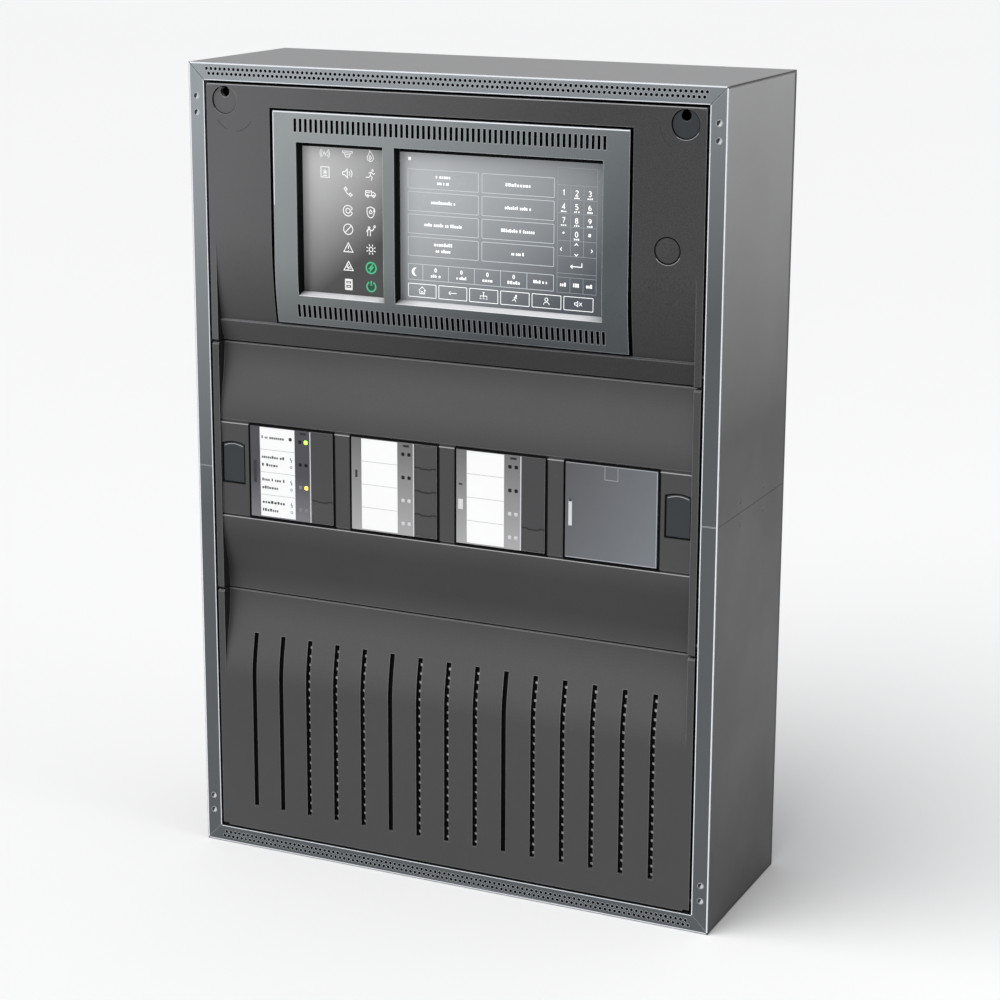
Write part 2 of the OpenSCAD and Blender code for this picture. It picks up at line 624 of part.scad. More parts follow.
slot_z = [-283, -136];
module lower_cover() color(cover_grey) difference() {
    cover(lower_curve, covers_bottom, lower_top);
    for (i = [0:cover_slots - 1]) let (x = (i - (cover_slots - 1) / 2) * cover_slot_pitch)
        block([x - 2, front - 1, slot_z[0]], [x + 2, front + 9, slot_z[1]]);
    cover_pin_bores(lower_pin_z);
}

// A bent sheet that lies behind the lower cover's curve
module behind_cover(gap, thick, x_max, z0, z1) {
    between = [for (p = lower_curve) if (p[1] > z0 && p[1] < z1) p];
    line = concat([[depth_at(lower_curve, z0), z0]], between, [[depth_at(lower_curve, z1), z1]]);
    along_x(-x_max, x_max) polygon(concat(moved_back(line, gap), reversed(moved_back(line, gap + thick))));
}
blind_slots = [0, 1, 5, 9];   // slots with no holes behind them
module vent_baffle() color([0.08, 0.08, 0.08]) difference() {
    behind_cover(skin + 0.05, 0.8, 186, -294, -125);
    for (i = [0:cover_slots - 1], k = [0:20]) if (len(search(i, blind_slots)) == 0)
        translate([(i - (cover_slots - 1) / 2) * cover_slot_pitch, 0, -280 + k * 6.9]) rod_y(front, front + 12, 1.3);
}
module filter_mat() color("whitesmoke") behind_cover(skin + 0.9, 2, 184, -292, -127);

// ---------- the parts ----------

upper_shell();
lower_shell();
top_panel();
bottom_panel();
splice_plates();
seam_rivets();
flange_screws();
upright_left();
upright_right();
hinge_pins();
cable_membrane();
earth_stud();
controller_frame();
controller_standoffs();
controller_case();
controller_board();
controller_bezel();
indicator_lens();
indicator_board();
display_module();
touch_glass();
module_rail();
battery_tray();
battery_left();
battery_right();
battery_terminals();
battery_strap();
power_supply();
power_terminals();
battery_lead_red();
battery_lead_black();
module_1_case();
module_fascia(0);  // module_1_fascia
module_label(0);  // module_1_label
module_leds(0);  // module_1_leds
module_key(0, 0);  // module_1_key
module_2_case();
module_fascia(1);  // module_2_fascia
module_label(1);  // module_2_label
module_leds(1);  // module_2_leds
module_key(1, 3);  // module_2_key_1
module_key(1, 2);  // module_2_key_2
module_key(1, 1);  // module_2_key_3
module_key(1, 0);  // module_2_key_4
module_3_case();
module_fascia(2);  // module_3_fascia
module_label(2);  // module_3_label
module_leds(2);  // module_3_leds
module_key(2, 0);  // module_3_key
blank_plate();
upper_cover();
switch_blank();
lock_left();
lock_right();
middle_cover();
latch_left();
latch_right();
lower_cover();
vent_baffle();
filter_mat();
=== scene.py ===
import json
import math

import bpy
import numpy as np
from mathutils import Euler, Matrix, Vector


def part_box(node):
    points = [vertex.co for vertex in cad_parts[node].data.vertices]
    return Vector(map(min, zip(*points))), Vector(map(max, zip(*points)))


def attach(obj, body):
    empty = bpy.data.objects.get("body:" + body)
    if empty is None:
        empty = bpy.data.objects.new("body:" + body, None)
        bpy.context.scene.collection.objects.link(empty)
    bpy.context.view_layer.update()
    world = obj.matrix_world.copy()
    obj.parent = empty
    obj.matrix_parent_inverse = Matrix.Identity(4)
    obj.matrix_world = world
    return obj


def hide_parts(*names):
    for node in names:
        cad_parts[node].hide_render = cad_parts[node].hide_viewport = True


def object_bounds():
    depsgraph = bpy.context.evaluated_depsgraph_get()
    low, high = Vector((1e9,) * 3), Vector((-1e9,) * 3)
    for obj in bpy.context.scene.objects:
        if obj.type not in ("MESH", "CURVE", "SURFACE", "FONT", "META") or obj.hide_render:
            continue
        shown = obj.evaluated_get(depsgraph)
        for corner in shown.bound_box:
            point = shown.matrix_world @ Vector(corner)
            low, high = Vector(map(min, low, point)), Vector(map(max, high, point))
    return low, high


bl_info = {
    "name": "Fire Alarm Panel Builder",
    "version": (1, 0, 0),
    "blender": (4, 5, 0),
    "location": "3D View > Sidebar > Alarm Panel",
    "description": "Finishes a wall-hung fire alarm panel and adds its symbols, screen page, labels and lamps",
    "category": "Add Mesh",
}

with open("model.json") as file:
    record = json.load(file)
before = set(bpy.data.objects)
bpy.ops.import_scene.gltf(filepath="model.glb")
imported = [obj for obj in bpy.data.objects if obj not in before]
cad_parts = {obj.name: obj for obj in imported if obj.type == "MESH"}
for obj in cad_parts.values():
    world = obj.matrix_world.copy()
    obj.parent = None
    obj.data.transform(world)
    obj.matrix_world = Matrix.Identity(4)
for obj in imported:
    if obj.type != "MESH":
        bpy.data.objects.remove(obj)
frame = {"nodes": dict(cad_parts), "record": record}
CAD_LOW, CAD_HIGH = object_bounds()
MM = 0.001


def corners(box):
    """The low and the high corner of a box, in millimetres."""
    return [np.array(corner) / MM for corner in box]


# Places that other sizes follow, in millimetres, read from the frame
LENS = corners(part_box("indicator_lens"))
GLASS = corners(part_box("touch_glass"))
FRONT = CAD_LOW[1] / MM

# Sizes of the moulded parts that the marks follow, in millimetres
WINDOW_HALF = 38.25                 # half of a window in the module row
ROW_END = 203.5                     # where the row's edges stop, left and right
LOCK_X, LOCK_Z = 188.5, 291         # middle of the right lock; the left one mirrors it
LATCH_X = (178.8, 197.8)            # sides of the right latch
LATCH_LOW, LATCH_HIGH = -11.4, 19.2
LATCH_ARCH = 7.2                    # four times the rise of a latch's upper edge
VENT_ROW = (308.2, 316.6)           # the rows of small holes in the flange
DISH_RADIUS = 2.15                  # head of a flange screw
KEY_STEP, KEY_TAB = 18.4, 0.9       # height of one key's field, and of the tab in its lower edge
KEY_SIDES = (54.9, 73.4)            # sides of the keys, from a module's left side
LAMP_SIDES = (44.8, 50.0)           # the two columns of lamps, from a module's left side
PROUD = 0.02                        # how far a mark stands before its surface


# ---------------------------------------------------------------- settings

class PanelFinishSettings(bpy.types.PropertyGroup):
    """Colours and surface values of the finishes."""
    housing_colour: bpy.props.FloatVectorProperty(
        name="Housing paint", description="Blue-grey powder coat of the steel housing",
        default=(0.068, 0.077, 0.083), subtype="COLOR", min=0, max=1)
    cover_colour: bpy.props.FloatVectorProperty(
        name="Cover plastic", description="Charcoal moulding of the three covers",
        default=(0.038, 0.038, 0.0392), subtype="COLOR", min=0, max=1)
    bezel_colour: bpy.props.FloatVectorProperty(
        name="Bezel paint", description="Metallic blue-grey of the controller's bezel",
        default=(0.29, 0.315, 0.315), subtype="COLOR", min=0, max=1)
    accent_colour: bpy.props.FloatVectorProperty(
        name="Latch plastic", description="Dark blue-grey of the latches and the right lock",
        default=(0.012, 0.016, 0.0195), subtype="COLOR", min=0, max=1)
    grain_size: bpy.props.FloatProperty(
        name="Moulding grain", description="Size of one grain of the moulded texture",
        default=0.0007, unit="LENGTH", min=0.0001, max=0.01)
    # how far the painted highlight along an edge reaches
    edge_radius: bpy.props.FloatProperty(
        name="Painted edge highlight", description="How far the pale line along an edge reaches",
        default=0.0009, unit="LENGTH", min=0.0001, max=0.01)


class PanelPrintSettings(bpy.types.PropertyGroup):
    """Sizes and brightness of the printed and lit marks."""
    symbol_line: bpy.props.FloatProperty(
        name="Symbol line", description="Width of the lines in the indicator symbols",
        default=0.00068, unit="LENGTH", min=0.0001, max=0.002)
    page_line: bpy.props.FloatProperty(
        name="Page line", description="Width of the outlines on the screen page",
        default=0.0003, unit="LENGTH", min=0.0001, max=0.002)
    page_light: bpy.props.FloatProperty(
        name="Page light", description="Strength of the screen page's glow",
        default=0.55, min=0, max=5)
    lamp_light: bpy.props.FloatProperty(
        name="Lamp light", description="Strength of a lamp that is on",
        default=3.0, min=0, max=50)


class PanelStageSettings(bpy.types.PropertyGroup):
    """Camera and studio light."""
    lens: bpy.props.FloatProperty(
        name="Lens", description="Focal length on a 36 mm sensor", default=88.9, unit="CAMERA", min=10, max=400)
    camera_place: bpy.props.FloatVectorProperty(
        name="Camera place", description="Where the camera stands",
        default=(0.8046, -1.7829, 0.4809), subtype="XYZ", unit="LENGTH")
    turn: bpy.props.FloatProperty(
        name="Turn", description="How far the camera turns to the left", default=0.435, subtype="ANGLE")
    tip: bpy.props.FloatProperty(
        name="Tip", description="How far the camera tips down", default=0.240, subtype="ANGLE")
    roll: bpy.props.FloatProperty(
        name="Roll", description="How far the camera leans", default=0.004, subtype="ANGLE")
    shift: bpy.props.FloatProperty(
        name="Shift", description="Camera shift up, as a part of the frame", default=-0.05)
    key_light: bpy.props.FloatProperty(
        name="Key light", description="Strength of the large soft light from above left", default=2.5, min=0)
    key_spread: bpy.props.FloatProperty(
        name="Key spread", description="How wide the key light is in the sky", default=1.1, subtype="ANGLE")
    side_power: bpy.props.FloatProperty(
        name="Side light", description="Power of the soft light at the right", default=4, unit="POWER", min=0)
    room_light: bpy.props.FloatProperty(
        name="Room light", description="Strength of the pale surroundings", default=0.42, min=0)


# ---------------------------------------------------------------- shapes

def arc(x, z, r, start=0, end=360, n=20, rz=None):
    """Points on a circle or ellipse: centre plus radius times cosine and sine of an angle that runs evenly."""
    a = np.radians(np.linspace(start, end, n))
    return np.stack([x + r * np.cos(a), z + (rz or r) * np.sin(a)], axis=1)


def line(*points):
    """A polyline through the given points."""
    return np.array(points, dtype=float)


def rounded_box(x0, x1, z0, z1, r=0.8, n=4):
    """A closed outline: four quarter circles whose centres lie one radius inside the corners."""
    a = np.radians(np.concatenate([np.linspace(s, s + 90, n) for s in (0, 90, 180, 270)]))
    cx = np.repeat([x1 - r, x0 + r, x0 + r, x1 - r], n)
    cz = np.repeat([z1 - r, z1 - r, z0 + r, z0 + r], n)
    path = np.stack([cx + r * np.cos(a), cz + r * np.sin(a)], axis=1)
    return np.vstack([path, path[:1]])


def ribbon(path, width):
    """A flat strip along a path: every point is moved half a width to each side, along the mean of the
    normals of the two runs that meet there, and lengthened by one over the cosine of half their turn."""
    run = np.diff(path, axis=0)
    run = run / np.maximum(np.linalg.norm(run, axis=1, keepdims=True), 1e-9)
    closed = np.allclose(path[0], path[-1])
    before = np.vstack([run[-1:] if closed else run[:1], run])
    after = np.vstack([run, run[:1] if closed else run[-1:]])
    mean = before + after
    mean = mean / np.maximum(np.linalg.norm(mean, axis=1, keepdims=True), 1e-9)
    stretch = 1 / np.clip((mean * after).sum(axis=1), 0.35, 1)
    side = np.stack([-mean[:, 1], mean[:, 0]], axis=1) * (stretch * width / 2)[:, None]
    n = len(path)
    flat = np.vstack([path + side, path - side])
    i = np.arange(n - 1)
    return flat, np.stack([i, i + 1, i + 1 + n, i + n], axis=1)


def level(x0, x1, z, width):
    """A strip that runs from left to right."""
    return ribbon(line((x0, z), (x1, z)), width)


def upright(x, z0, z1, width):
    """A strip that runs up."""
    return ribbon(line((x, z0), (x, z1)), width)


def patch(outline):
    """A filled shape: quads between each half of a closed outline's points, taken in pairs across it."""
    ring = outline[:-1] if np.allclose(outline[0], outline[-1]) else outline
    n = len(ring) // 2 * 2
    ring = ring[:n]
    i = np.arange(n // 2 - 1)
    return ring, np.stack([i, i + 1, n - 2 - i, n - 1 - i], axis=1)


def strokes(paths, width):
    """Ribbons along several paths, as one list of points and quads."""
    return merged([ribbon(p, width) for p in paths])


def merged(parts):
    """Joins flat parts: the quads of each are numbered on from the points of those before it."""
    starts = np.cumsum([0] + [len(p) for p, _ in parts[:-1]])
    return np.vstack([p for p, _ in parts]), np.vstack([q + s for (_, q), s in zip(parts, starts)])


def scaled(paths, size, x, z):
    """Paths drawn in a unit cell, enlarged and moved to their place."""
    return [p * size + np.array([x, z]) for p in paths]


def copies(points, quads, places):
    """The same shape at several places, as one list of points and quads."""
    return (np.vstack([points + np.array(place) for place in places]),
            np.vstack([quads + len(points) * k for k in range(len(places))]))


def stand_up(flat, y):
    """Turns flat points into points on a plane that faces the front: x stays, y is the plane, and the second
    number becomes z."""
    return np.stack([flat[:, 0], np.full(len(flat), y), flat[:, 1]], axis=1)


def face_front(points, quads):
    """Turns round every quad whose normal points away from the front."""
    a, b, c = (points[quads[:, k]] for k in (0, 1, 2))
    backwards = np.cross(b - a, c - b)[:, 1] > 0
    quads = quads.copy()
    quads[backwards] = quads[backwards][:, ::-1]
    return quads


def grid_quads(rows, columns, wrap=False):
    """Quads of a grid of points, row after row; a wrapped grid also joins its last column to its first."""
    r, c = np.meshgrid(np.arange(rows - 1), np.arange(columns if wrap else columns - 1), indexing="ij")
    a, b = r * columns + c, r * columns + (c + 1) % columns
    return np.stack([a, b, b + columns, a + columns], axis=-1).reshape(-1, 4)


def make_piece(name, points_mm, quads, body, material, smooth=False):
    """Makes a mesh object from arrays of points and quads, and lets it ride on its body."""
    mesh = bpy.data.meshes.new(name)
    mesh.vertices.add(len(points_mm))
    mesh.vertices.foreach_set("co", (np.asarray(points_mm) * MM).astype(np.float32).ravel())
    mesh.loops.add(quads.size)
    mesh.loops.foreach_set("vertex_index", quads.astype(np.int32).ravel())
    mesh.polygons.add(len(quads))
    mesh.polygons.foreach_set("loop_start", np.arange(0, quads.size, 4, dtype=np.int32))
    mesh.polygons.foreach_set("loop_total", np.full(len(quads), 4, dtype=np.int32))
    mesh.polygons.foreach_set("use_smooth", np.full(len(quads), smooth, dtype=bool))
    mesh.update(calc_edges=True)
    mesh.validate()
    mesh.materials.append(material)
    piece = bpy.data.objects.new(name, mesh)
    bpy.context.scene.collection.objects.link(piece)
    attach(piece, body)
    return piece


def thicken(piece, thickness_mm):
    """Gives a flat piece a small thickness behind its face."""
    wall = piece.modifiers.new("Thickness", "SOLIDIFY")
    wall.thickness = thickness_mm * MM
    wall.offset = -1


def print_marks(name, parts, y, body, material, thickness=0.08):
    """Makes flat marks that stand a hair in front of a surface."""
    flat, quads = merged(parts)
    points = stand_up(flat, y)
    piece = make_piece(name, points, face_front(points, quads), body, material)
    thicken(piece, thickness)
    return piece


def soften(node, width_mm, segments=2):
    """Rounds the edges of a CAD node with modifiers: its triangles are welded and flat faces merged first."""
    piece = frame["nodes"][node]
    weld = piece.modifiers.new("Weld", "WELD")
    weld.merge_threshold = 0.00001
    flat = piece.modifiers.new("Flat faces", "DECIMATE")
    flat.decimate_type = "DISSOLVE"
    flat.angle_limit = math.radians(0.1)
    bevel = piece.modifiers.new("Soft edges", "BEVEL")
    bevel.width = width_mm * MM
    bevel.segments = segments
    bevel.limit_method = "ANGLE"
    bevel.angle_limit = math.radians(25)
    bevel.use_clamp_overlap = False
    bevel.harden_normals = False
    bevel.miter_outer = "MITER_SHARP"


# ---------------------------------------------------------------- drawn marks

def greeked(x, z, width, height, seed, lines=1, step=1.0):
    """Plain blocks in place of words: a row of upright blocks whose widths and gaps come from a seeded random
    list, centred on x, with now and then a taller block or a wider gap."""
    rng = np.random.default_rng(seed)
    blocks = []
    for row in range(lines):
        count = max(3, int(width * rng.uniform(0.75, 1.0) / step))
        wide = rng.uniform(0.45, 0.75, count) * step
        gap = np.where(rng.random(count) < 0.14, 0.9, 0.28) * step
        left = np.concatenate([[0], np.cumsum(wide + gap)[:-1]])
        fit = width * (1.0 if row == 0 else 0.8) / (left[-1] + wide[-1])
        left, wide = left * fit, wide * fit
        left = left - (left[-1] + wide[-1]) / 2 + x
        tall = np.where(rng.random(count) < 0.3, height, height * 0.72)
        base = z + ((lines - 1) / 2 - row) * height * 1.9 - height / 2
        for a, w, h in zip(left, wide, tall):
            blocks.append(patch(np.array([[a, base], [a + w, base], [a + w, base + h], [a, base + h]])))
    return blocks


def box_fill(x0, x1, z0, z1):
    """A filled rectangle."""
    return patch(np.array([[x0, z0], [x1, z0], [x1, z1], [x0, z1]]))


def rays(x, z, near, far, count, start=0):
    """Short lines that point away from a centre at even angles."""
    a = np.radians(start + np.arange(count) * 360 / count)
    ray = np.stack([np.cos(a), np.sin(a)], axis=1)
    return [np.array([[x, z] + near * d, [x, z] + far * d]) for d in ray]


TRIANGLE = [(-0.9, -0.72), (0, 0.85), (0.9, -0.72), (-0.9, -0.72)]
BOLT = [(0.22, 0.6), (-0.32, -0.08), (-0.02, -0.08), (-0.2, -0.62), (0.34, 0.12), (0.04, 0.12), (0.22, 0.6)]
BOX = [(-0.8, -0.9), (0.8, -0.9), (0.8, 0.9), (-0.8, 0.9), (-0.8, -0.9)]

# The symbols of the indicator field, drawn in a cell that runs from -1 to 1: (column, row) to strokes
SYMBOLS = {
    (0, 0): [arc(0, 0, 0.95, -48, 48), arc(0, 0, 0.95, 132, 228), arc(0, 0, 0.66, -48, 48), arc(0, 0, 0.66, 132, 228),
             line((-0.35, -0.3), (-0.12, 0.3), (0.12, -0.3), (0.35, 0.3))],
    (0, 1): [line(*BOX), *rays(0, 0, 0.0, 0.45, 6, 30), line((-0.4, -0.6), (0.4, -0.6))],
    (1, 0): [line((-0.95, 0.6), (0.95, 0.6), (0.95, 0.3), (-0.95, 0.3), (-0.95, 0.6)),
             line((-0.62, 0.3), (-0.36, -0.4), (0.36, -0.4), (0.62, 0.3)), line((-0.5, 0), (0.5, 0))],
    (1, 1): [line((-0.95, 0.28), (-0.55, 0.28), (-0.05, 0.75), (-0.05, -0.75), (-0.55, -0.28), (-0.95, -0.28),
                  (-0.95, 0.28)),
             arc(-0.1, 0, 0.55, -42, 42), arc(-0.1, 0, 0.95, -42, 42)],
    (1, 2): [arc(0.75, 0.75, 1.3, 190, 260),
             line((-0.72, 0.55), (-0.45, 0.88), (-0.12, 0.48), (-0.42, 0.2), (-0.72, 0.55)),
             line((0.55, -0.72), (0.88, -0.45), (0.48, -0.12), (0.2, -0.42), (0.55, -0.72))],
    (1, 3): [arc(0, 0, 0.92, 22, 338, 30), arc(0, 0, 0.42, 0, 360, 24), line((0.85, 0.35), (0.55, 0.12)),
             line((0.85, -0.35), (0.55, -0.12))],
    (1, 4): [arc(0, 0, 0.9, 0, 360, 32), line((-0.62, -0.62), (0.62, 0.62))],
    (1, 5): [line(*TRIANGLE), line((0, 0.35), (0, -0.2)), line((0, -0.42), (0, -0.55))],
    (1, 6): [line(*TRIANGLE), line((-0.05, 0.3), (-0.3, -0.22), (0.0, -0.22), (-0.15, -0.62)),
             line((0.25, 0.05), (0.3, -0.5))],
    (1, 7): [*[line((x, -0.95), (x, 0.95)) for x in (-0.66, -0.55, 0.55, 0.66)],
             *[line((-0.66, z), (0.66, z)) for z in (-0.9, -0.78, -0.66, -0.02, 0.1, 0.66, 0.78, 0.9)],
             line((-0.25, 0.36), (0.25, 0.36)), line((-0.25, -0.34), (0.25, -0.34))],
    (2, 0): [line((0, -0.92), (-0.48, -0.68), (-0.62, -0.2), (-0.3, 0.28), (-0.12, 0.95), (0.22, 0.5), (0.55, 0.02),
                  (0.6, -0.48), (0.35, -0.82), (0, -0.92)),
             line((0, -0.62), (-0.22, -0.4), (-0.04, 0.1), (0.24, -0.3), (0, -0.62))],
    (2, 1): [arc(0.42, 0.8, 0.14, 0, 360, 10), line((-0.35, 0.28), (0.2, 0.48), (0.55, 0.12), (0.9, 0.3)),
             line((0.2, 0.48), (-0.05, -0.05), (0.35, -0.4), (0.18, -0.95)),
             line((-0.05, -0.05), (-0.3, -0.45), (-0.9, -0.42))],
    (2, 2): [line((-0.95, 0.45), (0.2, 0.45), (0.2, -0.35), (-0.95, -0.35), (-0.95, 0.45)),
             line((0.2, 0.25), (0.62, 0.25), (0.95, -0.05), (0.95, -0.35), (0.2, -0.35)),
             arc(-0.55, -0.42, 0.2, 0, 360, 14),
             arc(0.58, -0.42, 0.2, 0, 360, 14), line((-0.8, 0.15), (-0.1, 0.15))],
    (2, 3): [np.vstack([line((-0.7, 0.1), (-0.7, 0.68), (0, 0.95), (0.7, 0.68), (0.7, 0.1)),
                        arc(0, 0.1, 0.7, 0, -180, 14, 1.05)]),
             arc(0, 0.02, 0.26, 0, 360, 14), line((0, 0.28), (0, 0.55))],
    (2, 4): [arc(-0.35, 0.52, 0.17, 0, 360, 12), line((-0.85, -0.2), (-0.62, 0.2), (-0.1, 0.2), (0.28, 0.0)),
             line((-0.62, 0.2), (-0.62, -0.92)), line((-0.1, 0.2), (-0.1, -0.92)), line((0.28, 0), (0.66, 0.68)),
             arc(0.74, 0.8, 0.15, 0, 360, 12), line((0.44, 0.28), (0.62, 0.2))],
    (2, 5): [arc(0, 0, 0.36, 0, 360, 20), *rays(0, 0, 0.58, 0.95, 8, 22.5)],
}
GREEN_SYMBOLS = {
    (2, 6): [arc(0, 0, 0.95, 0, 360, 36), line(*BOLT)],
    (2, 7): [arc(0, -0.05, 0.85, 118, 422, 32), line((0, 0.95), (0, 0.1))],
}

# Digits in a cell one wide and 1.6 high
DIGITS = {
    "0": [arc(0.5, 0.8, 0.42, 0, 360, 18, 0.78)],
    "1": [line((0.25, 1.25), (0.58, 1.58), (0.58, 0))],
    "2": [np.vstack([arc(0.5, 1.15, 0.42, 165, -35, 10), line((0.08, 0.0), (0.95, 0.0))])],
    "3": [arc(0.45, 1.18, 0.4, 150, -90, 10), arc(0.45, 0.4, 0.42, 90, -150, 10)],
    "4": [line((0.7, 0), (0.7, 1.58), (0.05, 0.45), (0.95, 0.45))],
    "5": [np.vstack([line((0.88, 1.58), (0.2, 1.58), (0.15, 0.9)), arc(0.46, 0.5, 0.46, 125, -150, 12)])],
    "6": [arc(0.5, 0.45, 0.42, 0, 360, 16), arc(1.05, 0.5, 0.98, 178, 118, 8, 1.1)],
    "7": [line((0.08, 1.58), (0.92, 1.58), (0.38, 0))],
    "8": [arc(0.5, 1.2, 0.35, 0, 360, 14), arc(0.5, 0.42, 0.42, 0, 360, 16)],
    "9": [arc(0.5, 1.12, 0.42, 0, 360, 16), arc(-0.05, 1.08, 0.98, -2, -62, 8, 1.1)],
    "*": rays(0.5, 1.1, 0.0, 0.32, 6, 30),
    "#": [line((0.2, 0.3), (0.35, 1.3)), line((0.6, 0.3), (0.75, 1.3)), line((0.05, 0.6), (0.9, 0.6)),
          line((0.1, 1.0), (0.95, 1.0))],
}


def digit(text, x, z, size):
    """Strokes of one digit, centred on x and z."""
    return [p * size + np.array([x - 0.5 * size, z - 0.8 * size]) for p in DIGITS[text]]


# ---------------------------------------------------------------- shared effects

def new_group(name, inputs, outputs):
    """An empty node group with named sockets: (name, type, default) going in, (name, type) coming out."""
    group = bpy.data.node_groups.new(name, "ShaderNodeTree")
    for label, kind, default in inputs:
        socket = group.interface.new_socket(name=label, in_out="INPUT", socket_type=kind)
        if default is not None:
            socket.default_value = default
    for label, kind in outputs:
        group.interface.new_socket(name=label, in_out="OUTPUT", socket_type=kind)
    return group, group.nodes.new("NodeGroupInput"), group.nodes.new("NodeGroupOutput")


def math_node(tree, operation, a, b=None, clamp=False):
    """A Math node whose inputs are sockets or numbers; returns its output."""
    node = tree.nodes.new("ShaderNodeMath")
    node.operation = operation
    node.use_clamp = clamp
    for socket, value in zip(node.inputs, (a, b)):
        if value is None:
            continue
        if isinstance(value, (int, float)):
            socket.default_value = value
        else:
            tree.links.new(value, socket)
    return node.outputs[0]


def mix_colour(tree, factor, a, b):
    """A colour mix whose inputs are sockets or colours; returns its output."""
    node = tree.nodes.new("ShaderNodeMix")
    node.data_type = "RGBA"
    for socket, value in ((node.inputs[0], factor), (node.inputs[6], a), (node.inputs[7], b)):
        if isinstance(value, (int, float)):
            socket.default_value = value
        elif isinstance(value, (tuple, list)):
            socket.default_value = (*value[:3], 1.0)
        else:
            tree.links.new(value, socket)
    return node.outputs[2]


def map_range(tree, value, low, high, to_low, to_high):
    """A Map Range node from low..high to to_low..to_high; returns its output."""
    node = tree.nodes.new("ShaderNodeMapRange")
    tree.links.new(value, node.inputs[0])
    for socket, number in zip(node.inputs[1:5], (low, high, to_low, to_high)):
        socket.default_value = number
    return node.outputs[0]


def noise_node(group, inside, scale, detail=None, rough=None):
    """A noise that follows the group's Vector, with a scale that is a socket or a number; returns its output."""
    node = group.nodes.new("ShaderNodeTexNoise")
    group.links.new(inside.outputs["Vector"], node.inputs["Vector"])
    if isinstance(scale, (int, float)):
        node.inputs["Scale"].default_value = scale
    else:
        group.links.new(scale, node.inputs["Scale"])
    for label, value in (("Detail", detail), ("Roughness", rough)):
        if value is not None:
            node.inputs[label].default_value = value
    return node.outputs[0]


def grain_group():
    """Moulded grain: fine noise gives the grains, a broad noise the uneven gloss, and both the height."""
    group, inside, outside = new_group(
        "Moulded grain",
        [("Vector", "NodeSocketVector", None), ("Grain Scale", "NodeSocketFloat", 1400.0),
         ("Mottle Scale", "NodeSocketFloat", 18.0)],
        [("Grain", "NodeSocketFloat"), ("Mottle", "NodeSocketFloat"), ("Height", "NodeSocketFloat")])
    links = group.links
    fine = noise_node(group, inside, inside.outputs["Grain Scale"], 2.0)
    broad = noise_node(group, inside, inside.outputs["Mottle Scale"], 4.0, 0.6)
    grain = map_range(group, fine, 0.3, 0.7, 0.0, 1.0)
    mottle = map_range(group, broad, 0.3, 0.7, 0.0, 1.0)
    links.new(grain, outside.inputs["Grain"])
    links.new(mottle, outside.inputs["Mottle"])
    links.new(math_node(group, "ADD", math_node(group, "MULTIPLY", grain, 0.8),
                        math_node(group, "MULTIPLY", mottle, 0.2)),
              outside.inputs["Height"])
    return group


def edge_group():
    """Painted edge highlight: one minus the dot product of the true normal and a normal rounded over a small radius,
    broken up by noise. It is zero on flat ground and rises along every edge, where it paints a pale highlight."""
    group, inside, outside = new_group(
        "Painted edge highlight",
        [("Vector", "NodeSocketVector", None), ("Radius", "NodeSocketFloat", 0.0007), ("Gain", "NodeSocketFloat", 6.0)],
        [("Mask", "NodeSocketFloat")])
    links = group.links
    rounded = group.nodes.new("ShaderNodeBevel")
    rounded.samples = 4
    true = group.nodes.new("ShaderNodeNewGeometry")
    dot = group.nodes.new("ShaderNodeVectorMath")
    dot.operation = "DOT_PRODUCT"
    noise = noise_node(group, inside, 90.0)
    links.new(inside.outputs["Radius"], rounded.inputs["Radius"])
    links.new(rounded.outputs[0], dot.inputs[0])
    links.new(true.outputs["Normal"], dot.inputs[1])
    bent = math_node(group, "SUBTRACT", 1.0, dot.outputs["Value"])
    strength = math_node(group, "MULTIPLY", bent, inside.outputs["Gain"])
    uneven = map_range(group, noise, 0.25, 0.75, 0.6, 1.0)
    links.new(math_node(group, "MULTIPLY", strength, uneven, clamp=True), outside.inputs["Mask"])
    return group


def dust_group():
    """Dust: the part of a face that looks up, times noise at two sizes."""
    group, inside, outside = new_group(
        "Dust film",
        [("Vector", "NodeSocketVector", None), ("Amount", "NodeSocketFloat", 0.3)],
        [("Mask", "NodeSocketFloat")])
    links = group.links
    true = group.nodes.new("ShaderNodeNewGeometry")
    split = group.nodes.new("ShaderNodeSeparateXYZ")
    noise = noise_node(group, inside, 260.0, 5.0)
    links.new(true.outputs["Normal"], split.inputs[0])
    up = map_range(group, split.outputs[2], 0.1, 1.0, 0.0, 1.0)
    specks = map_range(group, noise, 0.45, 0.7, 0.0, 1.0)
    links.new(math_node(group, "MULTIPLY", math_node(group, "MULTIPLY", up, specks), inside.outputs["Amount"]),
              outside.inputs["Mask"])
    return group


def side_group():
    """Side faces: how far a face looks to the left or right, to the front and to the back, and a half plus three
    times its lean upwards. The finishes paint light and shade by these masks."""
    group, inside, outside = new_group(
        "Side faces", [("Sharpness", "NodeSocketFloat", 0.2)],
        [("Side", "NodeSocketFloat"), ("Front", "NodeSocketFloat"), ("Back", "NodeSocketFloat"),
         ("Tilt", "NodeSocketFloat")])
    links = group.links
    true = group.nodes.new("ShaderNodeNewGeometry")
    split = group.nodes.new("ShaderNodeSeparateXYZ")
    links.new(true.outputs["True Normal"], split.inputs[0])
    over = math_node(group, "SUBTRACT", math_node(group, "ABSOLUTE", split.outputs[0], 0.0),
                     math_node(group, "SUBTRACT", 1.0, inside.outputs["Sharpness"]))
    links.new(math_node(group, "DIVIDE", over, inside.outputs["Sharpness"], clamp=True), outside.inputs["Side"])
    links.new(math_node(group, "MULTIPLY", split.outputs[1], -1.0, clamp=True), outside.inputs["Front"])
    links.new(math_node(group, "MULTIPLY", split.outputs[1], 1.0, clamp=True), outside.inputs["Back"])
    links.new(map_range(group, split.outputs[2], -0.167, 0.167, 0.0, 1.0), outside.inputs["Tilt"])
    return group


